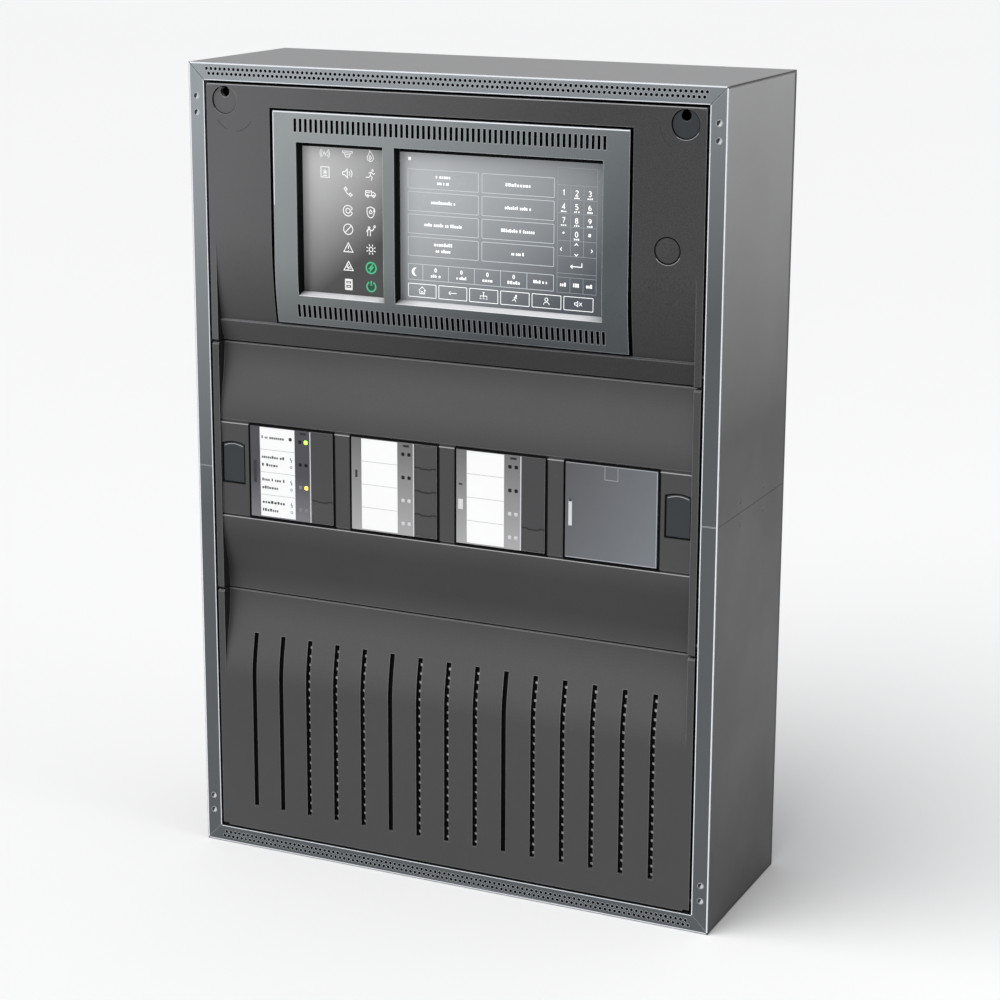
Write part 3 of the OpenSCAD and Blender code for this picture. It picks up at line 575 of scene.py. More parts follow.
def shared(name):
    """The named effect's node group, built the first time that it is asked for."""
    makers = {"Moulded grain": grain_group, "Painted edge highlight": edge_group, "Dust film": dust_group, "Side faces": side_group}
    return bpy.data.node_groups.get(name) or makers[name]()


def add_effect(tree, name, place, values):
    """A shared effect's node, with its Vector linked if a place is given and its other inputs set."""
    node = tree.nodes.new("ShaderNodeGroup")
    node.node_tree = shared(name)
    if place:
        tree.links.new(place, node.inputs["Vector"])
    for label, value in values.items():
        node.inputs[label].default_value = value
    return node


# ---------------------------------------------------------------- finishes

def finish(name, colour, rough=0.5, spread=0.08, metal=0.0, grain=1400.0, mottle=18.0, tone=0.12, bump=0.06,
           depth=0.00005, edge=0.0, edge_highlight_colour=None, dust=0.0, coat=0.0, specular=0.5, light_gradient=None, side_shade=None,
           painted_side_light=None, lean_light=0.0, holes=None):
    """A solid finish: base colour varied by grain and mottle, a painted highlight along edges, dust on upward faces,
    and the grain as bump. light_gradient is (direction, low, high, colour): painted light, the colour fades towards
    it along an axis, in metres. side_shade is a painted shade colour for faces that look left or right.
    painted_side_light is (low, high, below, above): painted light, the two colours, by height, of every face that
    doesn't look to the front. lean_light is how far a face that leans up or down changes tone, as painted light.
    holes is the colour of the painted shade on the walls of holes through the front sheet, and of a dark line along
    the back and top edges of the faces that look left or right; it needs side_shade, painted_side_light or lean_light
    as well."""
    material = bpy.data.materials.get(name)
    if material:
        return material
    material = bpy.data.materials.new(name)
    material.use_nodes = True
    tree = material.node_tree
    shader = tree.nodes["Principled BSDF"]
    links = tree.links
    place = tree.nodes.new("ShaderNodeTexCoord").outputs["Object"]
    grains = add_effect(tree, "Moulded grain", place, {"Grain Scale": grain, "Mottle Scale": mottle})
    base = tuple(colour)
    ground = base
    # painted light: the colour fades along an axis as if the light fell off across the surface
    if light_gradient:
        axis, low, high, far = light_gradient
        split = tree.nodes.new("ShaderNodeSeparateXYZ")
        links.new(place, split.inputs[0])
        along = math_node(tree, "ADD", math_node(tree, "MULTIPLY", split.outputs[0], axis[0]),
                          math_node(tree, "MULTIPLY", split.outputs[2], axis[2]))
        ground = mix_colour(tree, map_range(tree, along, low, high, 0.0, 1.0), base, far)
    shade = mix_colour(tree, math_node(tree, "MULTIPLY", grains.outputs["Grain"], tone), ground,
                       tuple(min(1.0, c * 1.9 + 0.01) for c in base))
    shade = mix_colour(tree, math_node(tree, "MULTIPLY", grains.outputs["Mottle"], tone), shade,
                       tuple(c * 0.55 for c in base))
    # painted highlight: a pale colour along the edges
    if edge:
        radius = bpy.context.scene.panel_finish.edge_radius
        edge_highlight = add_effect(tree, "Painted edge highlight", place, {"Radius": radius, "Gain": edge})
        shade = mix_colour(tree, edge_highlight.outputs["Mask"], shade,
                           edge_highlight_colour or tuple(min(1.0, c * 2.6 + 0.03) for c in base))
    # painted light and shade by which way a face looks: faces that lean up are made lighter and faces that lean down
    # darker, faces that look left or right get a painted shade colour, and faces that don't look to the front get
    # painted light by height
    if side_shade or painted_side_light or lean_light:
        faces = add_effect(tree, "Side faces", None, {})
        if lean_light:
            toned = tree.nodes.new("ShaderNodeVectorMath")
            toned.operation = "SCALE"
            links.new(shade, toned.inputs[0])
            links.new(map_range(tree, faces.outputs["Tilt"], 0.0, 1.0, 1.0 - lean_light, 1.0 + lean_light), toned.inputs["Scale"])
            shade = toned.outputs[0]
        if side_shade:
            shade = mix_colour(tree, faces.outputs["Side"], shade, side_shade)
        if painted_side_light:
            split = tree.nodes.new("ShaderNodeSeparateXYZ")
            links.new(place, split.inputs[0])
            low, high, below, above = painted_side_light
            other = mix_colour(tree, map_range(tree, split.outputs[2], low, high, 0.0, 1.0), below, above)
            other = mix_colour(tree, faces.outputs["Back"], other, tuple((a + b) / 2 for a, b in zip(below, above)))
            shade = mix_colour(tree, faces.outputs["Front"], other, shade)
    if dust:
        film = add_effect(tree, "Dust film", place, {"Amount": dust})
        shade = mix_colour(tree, film.outputs["Mask"], shade, (0.42, 0.41, 0.39))
    # painted shade on the walls of holes through the front sheet; the same dark colour also lines the back and top
    # edges of the faces that look left or right
    if holes:
        where = tree.nodes.new("ShaderNodeSeparateXYZ")
        links.new(place, where.inputs[0])
        inside = math_node(tree, "LESS_THAN", where.outputs[1], CAD_LOW[1] + 0.0013)
        for k in (0, 2):
            inside = math_node(tree, "MULTIPLY", inside, math_node(
                tree, "LESS_THAN", math_node(tree, "ABSOLUTE", where.outputs[k], 0.0), CAD_HIGH[k] - 0.0004))
        wall = math_node(tree, "LESS_THAN", faces.outputs["Front"], 0.5)
        shade = mix_colour(tree, math_node(tree, "MULTIPLY", inside, wall), shade, holes)
        rim = math_node(tree, "MAXIMUM", math_node(tree, "GREATER_THAN", where.outputs[1], CAD_HIGH[1] - 0.0042),
                        math_node(tree, "GREATER_THAN", where.outputs[2], CAD_HIGH[2] - 0.0013))
        shade = mix_colour(tree, math_node(tree, "MULTIPLY", rim, faces.outputs["Side"]), shade, holes)
    links.new(shade, shader.inputs["Base Color"])
    links.new(map_range(tree, grains.outputs["Mottle"], 0.0, 1.0, max(0.02, rough - spread), min(1.0, rough + spread)),
              shader.inputs["Roughness"])
    relief = tree.nodes.new("ShaderNodeBump")
    relief.inputs["Strength"].default_value = bump
    relief.inputs["Distance"].default_value = depth
    links.new(grains.outputs["Height"], relief.inputs["Height"])
    links.new(relief.outputs[0], shader.inputs["Normal"])
    shader.inputs["Metallic"].default_value = metal
    shader.inputs["Coat Weight"].default_value = coat
    shader.inputs["Coat Roughness"].default_value = 0.08
    shader.inputs["Specular IOR Level"].default_value = specular
    return material


def glowing(name, colour, light, rough=0.4):
    """A lit mark: colour and glow varied a little by grain."""
    material = bpy.data.materials.get(name)
    if material:
        return material
    material = finish(name, colour, rough=rough, tone=0.05, bump=0.02, grain=3000.0, mottle=120.0)
    shader = material.node_tree.nodes["Principled BSDF"]
    source = shader.inputs["Base Color"].links[0].from_socket
    material.node_tree.links.new(source, shader.inputs["Emission Color"])
    shader.inputs["Emission Strength"].default_value = light
    return material


def build_finishes():
    """Every finish of the panel, by the name of its material slot."""
    s = bpy.context.scene.panel_finish
    grain = 1.0 / s.grain_size
    # edge paints a pale highlight along the edges of a finish
    return {
        # housing: painted light, paler towards the upper left, painted light by height on the faces that don't look to
        # the front, painted shade in the holes, and a painted highlight along the edges
        "housing_paint": finish("Housing powder coat", s.housing_colour, rough=0.42, spread=0.05, metal=0.15,
                                grain=2200.0,
                                mottle=7.0, tone=0.08, bump=0.10, edge=5.0, edge_highlight_colour=(0.66, 0.69, 0.73), dust=0.05,
                                light_gradient=((-0.45, 0, 1), 0.06, 0.37, (0.29, 0.318, 0.335)),
                                painted_side_light=(0.06, 0.34, (0.036, 0.036, 0.037), (0.33, 0.33, 0.332)),
                                holes=(0.002, 0.002, 0.002)),
        "rivet_paint": finish("Painted rivets", (0.07, 0.075, 0.085), rough=0.5, edge=3.0),
        "zinc_steel": finish("Zinc plated sheet", (0.50, 0.50, 0.49), rough=0.36, spread=0.1, metal=0.9, grain=600.0,
                             mottle=40.0, tone=0.25),
        "screw_steel": finish("Bright screws", (0.62, 0.66, 0.66), rough=0.28, metal=0.9, tone=0.15),
        "membrane_rubber": finish("Membrane rubber", (0.016, 0.016, 0.016), rough=0.75, tone=0.2),
        "stud_brass": finish("Brass stud", (0.62, 0.44, 0.16), rough=0.3, metal=1.0, tone=0.15),
        "case_plastic": finish("Inner case plastic", (0.022, 0.022, 0.024), rough=0.6, tone=0.2),
        "circuit_board": finish("Circuit board", (0.012, 0.08, 0.03), rough=0.35, tone=0.3, grain=900.0),
        # bezel: painted shade on faces that look left or right, painted light by lean, painted shade towards the lower
        # right, and a painted highlight along the edges
        "bezel_plastic": finish("Bezel metallic paint", s.bezel_colour, rough=0.40, spread=0.05, metal=0.35,
                                grain=5200.0,
                                mottle=10.0, tone=0.14, bump=0.05, edge=4.0, edge_highlight_colour=(0.62, 0.65, 0.68),
                                side_shade=(0.005, 0.005, 0.005), lean_light=0.3,
                                light_gradient=((0.6, 0, -0.8), -0.30, -0.08, (0.028, 0.036, 0.043))),
        # lens and touch glass: painted reflection, paler towards the upper left
        "lens_plastic": finish("Indicator lens", (0.045, 0.044, 0.044), rough=0.24, tone=0.03, bump=0.0, coat=0.15,
                               light_gradient=((-0.8, 0, 1), 0.235, 0.37, (0.74, 0.74, 0.74))),
        "screen_glass": finish("Touch glass", (0.050, 0.061, 0.074), rough=0.2, tone=0.03, bump=0.0, coat=0.3,
                               light_gradient=((-0.8, 0, 1), 0.08, 0.39, (0.80, 0.82, 0.83))),
        "battery_plastic": finish("Battery case", (0.05, 0.052, 0.06), rough=0.45, tone=0.2, grain=900.0, edge=1.5),
        "supply_steel": finish("Supply case", (0.30, 0.31, 0.32), rough=0.4, metal=0.4, tone=0.15),
        "terminal_plastic": finish("Terminal block", (0.03, 0.16, 0.06), rough=0.45),
        "red_lead": finish("Red insulation", (0.30, 0.012, 0.01), rough=0.4),
        "black_lead": finish("Black insulation", (0.012, 0.012, 0.012), rough=0.4),
        # dummy plate: painted light, paler towards the lower right
        "blank_plastic": finish("Dummy plate", (0.068, 0.067, 0.075), rough=0.30, spread=0.04, tone=0.08, grain=3000.0,
                                bump=0.03, coat=0.25,
                                light_gradient=((1, 0, -0.6), 0.08, 0.20, (0.155, 0.175, 0.195))),
        # covers: painted light by lean, painted shade on faces that look left or right, and a painted highlight along
        # the edges
        "cover_plastic": finish("Charcoal moulding", s.cover_colour, rough=0.52, spread=0.06, grain=grain, mottle=6.0,
                                tone=0.20,
                                bump=0.22, depth=0.0001, edge=2.6, edge_highlight_colour=(0.26, 0.26, 0.265), dust=0.03,
                                side_shade=(0.008, 0.008, 0.008), lean_light=0.45),
        "dark_plastic": finish("Latch plastic", s.accent_colour, rough=0.38, spread=0.05, grain=2600.0, tone=0.12,
                               bump=0.06,
                               edge=2.0, edge_highlight_colour=(0.16, 0.19, 0.21)),
        "baffle_plastic": finish("Baffle sheet", (0.002, 0.002, 0.002), rough=0.85, specular=0.1),
        "filter_cloth": finish("Filter mat", (0.50, 0.51, 0.53), rough=0.9, grain=900.0, mottle=160.0, tone=0.9,
                               bump=0.4),
        "module_plastic": finish("Module moulding", (0.036, 0.036, 0.038), rough=0.42, spread=0.06, grain=2400.0,
                                 tone=0.15,
                                 bump=0.08, edge=2.2, edge_highlight_colour=(0.26, 0.26, 0.27)),
        # smoke clear front: painted light, paler towards the bottom
        "smoke_plastic": finish("Smoke clear front", (0.13, 0.13, 0.132), rough=0.22, spread=0.03, tone=0.04, bump=0.0,
                                coat=0.3, light_gradient=((0, 0, -1), -0.034, 0.036, (0.36, 0.36, 0.362))),
        "label_card": finish("Label card", (0.88, 0.88, 0.88), rough=0.7, tone=0.04, bump=0.03),
        "lamp_plastic": finish("Dark lamp", (0.03, 0.03, 0.034), rough=0.2, coat=0.4),
        "key_plastic": finish("Key moulding", (0.042, 0.042, 0.043), rough=0.32, spread=0.06, grain=2400.0, tone=0.15,
                              bump=0.08),
    }


def slot_of(node):
    """The material slot that the record gives a node."""
    return next(s["material_slot"] for s in frame["record"]["subparts"] if s["node"] == node)


def paint(nodes, finishes):
    """Gives CAD nodes the finish of their material slot."""
    for node in nodes:
        piece = frame["nodes"][node]
        material = finishes[slot_of(node)]
        if piece.material_slots:
            for slot in piece.material_slots:
                slot.link = "OBJECT"
                slot.material = material
        else:
            piece.data.materials.append(material)


FINISHES = {}


def finishes():
    """Every finish, built the first time that one is asked for."""
    if not FINISHES:
        FINISHES.update(build_finishes())
    return FINISHES


# ---------------------------------------------------------------- operators

SLOTS = [(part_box(n)[0][0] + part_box(n)[1][0]) / 2 / MM
         for n in ("module_1_case", "module_2_case", "module_3_case", "blank_plate")]
HOUSING = {"upper_shell": 0, "lower_shell": 0, "top_panel": 0, "bottom_panel": 0, "flange_screws": 0.25,
           "seam_rivets": 0.4, "splice_plates": 0.2, "upright_left": 0.2, "upright_right": 0.2, "hinge_pins": 0.2,
           "cable_membrane": 0.5, "earth_stud": 0.3}
INNER = {"controller_frame": 0.2, "controller_standoffs": 0.2, "controller_case": 0.5, "controller_board": 0.1,
         "indicator_board": 0.1, "display_module": 0.2, "module_rail": 0.2, "battery_tray": 0.2, "battery_left": 1.0,
         "battery_right": 1.0, "battery_terminals": 0.4, "battery_strap": 0.2, "power_supply": 0, "power_terminals": 0,
         "battery_lead_red": 0, "battery_lead_black": 0, "vent_baffle": 0, "filter_mat": 0}
COVERS = {"upper_cover": 0, "middle_cover": 0, "lower_cover": 0, "switch_blank": 0.4, "lock_left": 0.5,
          "lock_right": 0.5, "latch_left": 0.5, "latch_right": 0.5}


def dress(sizes):
    """Paints CAD nodes and rounds their edges by the given widths; a width of zero leaves them sharp."""
    paint(sizes, finishes())
    for node, width in sizes.items():
        if width:
            soften(node, width)


class PANEL_OT_housing(bpy.types.Operator):
    """Paints the steel housing and rounds the edges of its small parts"""
    bl_idname = "alarm_panel.housing"
    bl_label = "Housing"

    def execute(self, context):
        dress(HOUSING)
        return {"FINISHED"}


class PANEL_OT_inner_parts(bpy.types.Operator):
    """Finishes the batteries, the power supply and the other parts behind the covers"""
    bl_idname = "alarm_panel.inner_parts"
    bl_label = "Inner Parts"

    def execute(self, context):
        dress(INNER)
        return {"FINISHED"}


class PANEL_OT_covers(bpy.types.Operator):
    """Gives the three covers their moulded grain and painted light and shade, and finishes their locks and latches"""
    bl_idname = "alarm_panel.covers"
    bl_label = "Covers, Locks and Latches"

    def execute(self, context):
        dress(COVERS)
        s = context.scene.panel_finish
        # painted light: the upper cover, the plug and the left lock get a copy of the moulding that is 2.35 times as
        # light, with painted shade towards the lower right
        upper = finish("Charcoal moulding, lit upper copy", tuple(c * 2.35 for c in s.cover_colour), rough=0.52, spread=0.06,
                       grain=1.0 / s.grain_size, mottle=6.0, tone=0.20, bump=0.22, depth=0.0001, edge=2.6,
                       edge_highlight_colour=(0.30, 0.30, 0.305), dust=0.02, specular=0.4, side_shade=(0.008, 0.008, 0.008), lean_light=0.45,
                       light_gradient=((0.8, 0, -0.45), -0.26, -0.04, tuple(c * 0.42 for c in s.cover_colour)))
        paint(["upper_cover", "switch_blank", "lock_left"],
              dict.fromkeys([slot_of(n) for n in ("upper_cover", "switch_blank", "lock_left")], upper))
        return {"FINISHED"}


class PANEL_OT_seam_lines(bpy.types.Operator):
    """Paints shade in the module row's windows and in the gaps around its modules, latches, locks and plug, paints
    highlights along the edges of the row, latches, covers, plug and locks, and paints the shade lines of shallow rings
    on the upper cover
    """
    bl_idname = "alarm_panel.seam_lines"
    bl_label = "Seams, Rings and Edges"

    def execute(self, context):
        black = finish("Painted shade black", (0.003, 0.003, 0.003), rough=0.8, tone=0.1, specular=0.1)
        bright = finish("Edge light", (0.34, 0.34, 0.345), rough=0.4, tone=0.1)
        soft = finish("Painted seam highlight", (0.17, 0.17, 0.172), rough=0.4, tone=0.1)
        ring_shade = finish("Moulded ring shade", (0.012, 0.012, 0.0125), rough=0.6, tone=0.1)
        # window linings: a closed strip of four walls, 0.06 mm inside each opening, black as painted shade
        half = WINDOW_HALF - 0.06
        corner = np.array([[-half, -half], [half, -half], [half, half], [-half, half]])
        depth = np.array([FRONT + 1.8, FRONT + 4.2])
        walls = []
        for x in SLOTS:
            walls.append(np.stack([np.repeat(corner[:, 0] + x, 2), np.tile(depth, 4), np.repeat(corner[:, 1], 2)],
                                  axis=1))
        i = np.arange(4)
        loop = np.stack([2 * i, 2 * i + 1, 2 * ((i + 1) % 4) + 1, 2 * ((i + 1) % 4)], axis=1)
        quads = np.vstack([loop + 8 * k for k in range(4)])
        piece = make_piece("window_linings", np.vstack(walls), quads, "middle_cover", black)
        thicken(piece, 0.05)
        # a black frame fills each gap behind the row's face, between the opening and the module, as painted shade
        rims = [ribbon(np.vstack([corner, corner[:1]]) * ((38.2 - 0.62) / half) + np.array([x, 0]), 1.2) for x in SLOTS]
        print_marks("module_gap_shade", rims, FRONT + 3.6, "housing", black, 0.2)
        edges = []
        for x in SLOTS:
            edges += [level(x - 38.4, x + 38.9, -38.5, 1.3), level(x - 38.6, x + 38.9, 37.55, 1.0),
                      upright(x + 38.6, -38.4, 37.6, 1.0), upright(x - 38.5, -38.4, 37.6, 0.5)]
        print_marks("row_shadows", edges, FRONT + 1.44, "middle_cover", black, 0.05)
        # painted highlights along the row's edges: all along below it, and between the windows above it
        edge_x = [-ROW_END, *[x + side * 38.6 for x in SLOTS for side in (-1, 1)], ROW_END]
        above = [level(a, b, 36.7, 0.75) for a, b in zip(edge_x[0::2], edge_x[1::2])]
        print_marks("row_edge_above", above, FRONT + 1.42, "middle_cover", bright, 0.06)
        print_marks("row_edge_below", [level(-ROW_END, ROW_END, -39.75, 0.7)], FRONT + 1.1,
                    "middle_cover", bright, 0.06)
        # painted shade in the gap around each latch, and a painted highlight under its arched upper edge
        latch_outline, latch_light = [], []
        for side in (-1, 1):
            x0, x1 = sorted(side * x for x in LATCH_X)
            grow = 0.55
            t = np.linspace(0, 1, 13)[:, None]
            arch = np.hstack([x1 + grow + t * (x0 - x1 - 2 * grow), LATCH_HIGH + grow + LATCH_ARCH * t * (1 - t)])
            foot = LATCH_LOW - grow
            latch_outline.append(ribbon(np.vstack([[[x0 - grow, foot]], [[x1 + grow, foot]], arch,
                                                   [[x0 - grow, foot]]]), 0.9))
            arch = np.hstack([x1 - 1.2 + t * (x0 - x1 + 2.4), 18.0 + LATCH_ARCH * t * (1 - t)])
            latch_light.append((("latch_left", "latch_right")[side > 0], ribbon(arch, 0.6)))
        print_marks("latch_gap_shade", latch_outline, FRONT + 1.44, "middle_cover", black, 0.06)
        for body, strip in latch_light:
            print_marks(body + "_arch", [strip], FRONT + 1.95, body, bright, 0.05)
        # painted highlights along the upper edges of the covers; the depth of each comes from the cover's own dish
        top = {n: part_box(n)[1] / MM for n in ("middle_cover", "lower_cover")}
        for name in ("middle_cover", "lower_cover"):
            print_marks(name + "_top_edge", [level(-198, 198, top[name][2] - 0.8, 0.5)],
                        FRONT + 9.1, name, soft, 0.05)
        print_marks("upper_cover_top_edge", [ribbon(line((-203.8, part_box("upper_cover")[1][2] / MM - 0.4),
                                                         (203.8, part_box("upper_cover")[1][2] / MM - 0.4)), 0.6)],
                    FRONT - PROUD, "upper_cover", bright, 0.05)
        # upper cover: painted shade in the gaps around the plug and the locks and on their upper left, painted
        # highlights along their lower rims, and painted shade lines where shallow moulded rings run
        plug = (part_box("switch_blank")[0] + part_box("switch_blank")[1]) / 2 / MM
        print_marks("plug_gap_shade", [ribbon(arc(plug[0], plug[2], 9.75, 0, 360, 49), 1.0)], FRONT - 0.03, "upper_cover",
                    black, 0.05)
        print_marks("plug_light", [ribbon(arc(plug[0], plug[2], 10.5, 215, 335, 25), 0.35)], FRONT - PROUD,
                    "upper_cover",
                    bright, 0.05)
        rings = [ribbon(arc(-180.0, 284.5, 17.0, 208, 248, 16), 0.3),
                 ribbon(arc(-180.0, 284.5, 17.0, 275, 330, 20), 0.35),
                 ribbon(arc(186.5, 290.0, 17.5, 175, 245, 24), 0.45)]
        print_marks("cover_ring_shades", rings, FRONT - PROUD, "upper_cover", ring_shade, 0.05)
        crescents = [ribbon(arc(side * LOCK_X, LOCK_Z, 10.7, 120, 215, 30), 0.5) for side in (-1, 1)]
        crescents.append(ribbon(arc(LOCK_X, LOCK_Z, 10.7, 0, 360, 60), 0.45))
        print_marks("lock_gap_shade", crescents, FRONT - 0.03, "upper_cover", black, 0.05)
        print_marks("lock_light", [ribbon(arc(LOCK_X, LOCK_Z, 11.2, 235, 330, 24), 0.35)], FRONT - PROUD, "upper_cover",
                    bright, 0.05)
        return {"FINISHED"}


class PANEL_OT_flange_marks(bpy.types.Operator):
    """Sets screw heads with painted shade, mitre lines, painted highlights along the folds of the flange and the edges
    of the bezel, and painted shade behind small holes
    """
    bl_idname = "alarm_panel.flange_marks"
    bl_label = "Flange Details"

    def execute(self, context):
        steel = finish("Screw dish", (0.58, 0.62, 0.62), rough=0.35, metal=0.6, tone=0.2)
        shade = finish("Screw shade", (0.012, 0.014, 0.016), rough=0.6)
        bright = finish("Fold light", (0.78, 0.80, 0.84), rough=0.35, tone=0.08)
        dark = finish("Mitre line", (0.010, 0.011, 0.012), rough=0.7)
        low, high = corners(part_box("flange_screws"))
        places = [(x, z) for x in (low[0] + 2.2, high[0] - 2.2)
                  for z in (low[2] + 2.2, low[2] + 14.7, high[2] - 14.7, high[2] - 2.2)]
        # dish: the depth follows a raised cosine of the radius, with a small dome in the middle
        a, r = np.meshgrid(np.linspace(0, 2 * math.pi, 24, endpoint=False), np.linspace(DISH_RADIUS, 0.05, 12))
        sink = 0.22 * (1 - np.cos(2 * math.pi * np.clip(r / DISH_RADIUS, 0, 1))) / 2 + 0.02
        dish = np.stack([r * np.cos(a), FRONT + 0.02 + sink, r * np.sin(a)], axis=-1).reshape(-1, 3)
        points, quads = copies(dish, grid_quads(12, 24, wrap=True), [(x, 0, z) for x, z in places])
        piece = make_piece("screw_dishes", points, quads[:, ::-1], "housing", steel, smooth=True)
        thicken(piece, 0.05)
        crescents = [ribbon(arc(x, z, 1.05, 60, 250, 16), 2.1) for x, z in places]
        print_marks("screw_shades", crescents, FRONT, "housing", shade, 0.03)
        # painted shade: a black sheet behind the rows of small holes in the flange
        hole_shade_fill = [box_fill(-206, 206, *sorted(sz * z for z in VENT_ROW)) for sz in (-1, 1)]
        print_marks("vent_hole_shade", hole_shade_fill, FRONT + 1.7, "housing",
                    finish("Vent hole shade", (0.002, 0.002, 0.002), rough=0.9, specular=0.05), 0.1)
        mitres = [ribbon(line((sx * 206.6, sz * 305.6), (sx * 219.7, sz * 318.7)), 0.5) for sx in (-1, 1)
                  for sz in (-1, 1)]
        print_marks("mitre_lines", mitres, FRONT - PROUD, "housing", dark, 0.03)
        # painted highlights along the folds of the flange and the upper and left edges of the bezel
        folds = [upright(sx * u, -a, a, w) for sx in (-1, 1) for u, a, w in ((207.0, 305.4, 0.6), (219.2, 317.8, 0.9))]
        print_marks("upright_folds", folds, FRONT - PROUD, "housing", bright, 0.03)
        rails = [level(-206.3, 206.3, sz * 306.0, 0.45) for sz in (-1, 1)]
        rails += [level(-218.6, 218.6, z, w) for z, w in ((-318.3, 0.6), (318.35, 1.0))]
        print_marks("rail_folds", rails, FRONT - PROUD, "housing", bright, 0.03)
        low, high = corners(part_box("controller_bezel"))
        strips = [level(low[0] + 0.4, high[0] - 0.4, high[2] - 0.55, 0.9),
                  upright(low[0] + 0.5, high[2] - 1.2, high[2] - 72, 0.6)]
        print_marks("bezel_folds", strips, FRONT - PROUD, "housing", bright, 0.03)
        return {"FINISHED"}


class PANEL_OT_controller(bpy.types.Operator):
    """Finishes the controller's bezel, lens and touch glass"""
    bl_idname = "alarm_panel.controller"
    bl_label = "Controller"

    def execute(self, context):
        dress({"controller_bezel": 0, "indicator_lens": 0, "touch_glass": 0})
        return {"FINISHED"}


class PANEL_OT_modules(bpy.types.Operator):
    """Finishes the plug-in modules, their keys and the dummy plate"""
    bl_idname = "alarm_panel.modules"
    bl_label = "Modules"

    def execute(self, context):
        names = [n for n in frame["nodes"] if n.startswith("module_") and n != "module_rail"] + ["blank_plate"]
        widths = {"case": 0, "fascia": 0, "label": 0, "leds": 0, "plate": 0}
        dress({n: widths.get(n.split("_")[-1], 0.3) for n in names})
        return {"FINISHED"}


class PANEL_OT_window_trim(bpy.types.Operator):
    """Lines the bezel's windows: a sloping sill, pale as painted light, walls in black as painted shade, and a black
    strip under the top edge of the lens and the glass as painted shadow
    """
    bl_idname = "alarm_panel.window_trim"
    bl_label = "Window Trim"

    def execute(self, context):
        # the sill is far paler than the bezel as painted light; the walls are black as painted shade
        lit_sill_finish = finish("Painted lit sill", (0.72, 0.72, 0.73), rough=0.35, metal=0.1, tone=0.1, grain=2600.0,
                             bump=0.03)
        black = finish("Window wall shade", (0.003, 0.003, 0.003), rough=0.8, tone=0.1, specular=0.1)
        sills, walls = [], []
        for low, high in (LENS, GLASS):
            x0, x1, z0, z1 = low[0] + 1.5, high[0] - 1.5, low[2] + 1.5, high[2] - 1.5
            front, back = FRONT + 1.2, low[1] - 0.02
            # sill: height rises with depth as a quarter cosine, from the window's lower edge to the glass
            u, t = np.meshgrid(np.linspace(x0, x1, 9), np.linspace(0, 1, 9))
            sills.append(np.stack([u, front + (back - front) * t, z0 + 2.3 * np.sin(t * math.pi / 2) ** 1.3],
                                  axis=-1).reshape(-1, 3))
            # walls: a strip that runs up the left side, over the top and down the right side
            path = np.array([[x0, z0], [x0, z1], [x1, z1], [x1, z0]]) + np.array([[0.05, 0], [0.05, -0.05],
                                                                                  [-0.05, -0.05], [-0.05, 0]])
            depth = np.linspace(front + 0.4, back, 3)
            walls.append(np.stack([np.broadcast_to(path[:, :1], (4, 3)), np.broadcast_to(depth, (4, 3)),
                                   np.broadcast_to(path[:, 1:], (4, 3))], axis=-1).reshape(-1, 3))
        # painted shadow: a black strip along the top of the lens and the glass, under the window's top edge
        top_shadows = [box_fill(low[0] + 1.6, high[0] - 1.6, high[2] - 2.6 - 0.26 * (low[1] - FRONT), high[2] - 1.6)
                   for low, high in (LENS, GLASS)]
        print_marks("window_top_shadows", top_shadows, LENS[0][1] - 0.03, "housing", black, 0.04)
        quads = grid_quads(9, 9)
        piece = make_piece("window_sills", np.vstack(sills), np.vstack([quads, quads + 81]), "housing",
                           lit_sill_finish, smooth=True)
        thicken(piece, 0.3)
        quads = grid_quads(4, 3)
        piece = make_piece("window_walls", np.vstack(walls), np.vstack([quads, quads + 12]), "housing",
                           black)
        thicken(piece, 0.1)
        return {"FINISHED"}


class PANEL_OT_symbols(bpy.types.Operator):
    """Draws the two columns of white symbols and the green ones on the indicator lens"""
    bl_idname = "alarm_panel.symbols"
    bl_label = "Indicator Symbols"

    columns: bpy.props.FloatVectorProperty(name="Columns", description="Where the three columns stand", size=3,
                                           default=(-0.107, -0.0875, -0.068), unit="LENGTH")
    top_row: bpy.props.FloatProperty(name="Top row", description="Height of the first row", default=0.2535,
                                     unit="LENGTH")
    row_step: bpy.props.FloatProperty(name="Row step", description="Distance from row to row", default=0.0142,
                                      unit="LENGTH")
    symbol_size: bpy.props.FloatProperty(name="Symbol size", description="Half the width of a symbol", default=0.0044,
                                         unit="LENGTH")

    def draw_set(self, symbols, width):
        """Strokes of a set of symbols, each in its own column and row."""
        parts = []
        for (column, row), paths in symbols.items():
            x = self.columns[column] / MM
            z = (self.top_row - row * self.row_step) / MM
            parts.append(strokes(scaled(paths, self.symbol_size / MM, x, z), width))
        return parts

    def execute(self, context):
        s = context.scene.panel_print
        white = glowing("White symbol", (0.80, 0.80, 0.80), 0.25)
        green = glowing("Green symbol", (0.05, 0.44, 0.21), 0.2)
        dark = finish("Symbol ground", (0.012, 0.06, 0.035), rough=0.3)
        y = LENS[0][1] - 0.05
        width = s.symbol_line / MM
        print_marks("white_symbols", self.draw_set(SYMBOLS, width), y, "housing", white)
        print_marks("green_symbols", self.draw_set(GREEN_SYMBOLS, width * 1.7), y - 0.04, "housing",
                    green)
        discs = [patch(arc(self.columns[2] / MM, (self.top_row - row * self.row_step) / MM,
                           self.symbol_size / MM * 0.95, 0, 360, 33))
                 for row in (6, 7)]
        print_marks("symbol_grounds", discs, y + 0.02, "housing", dark, 0.05)
        return {"FINISHED"}


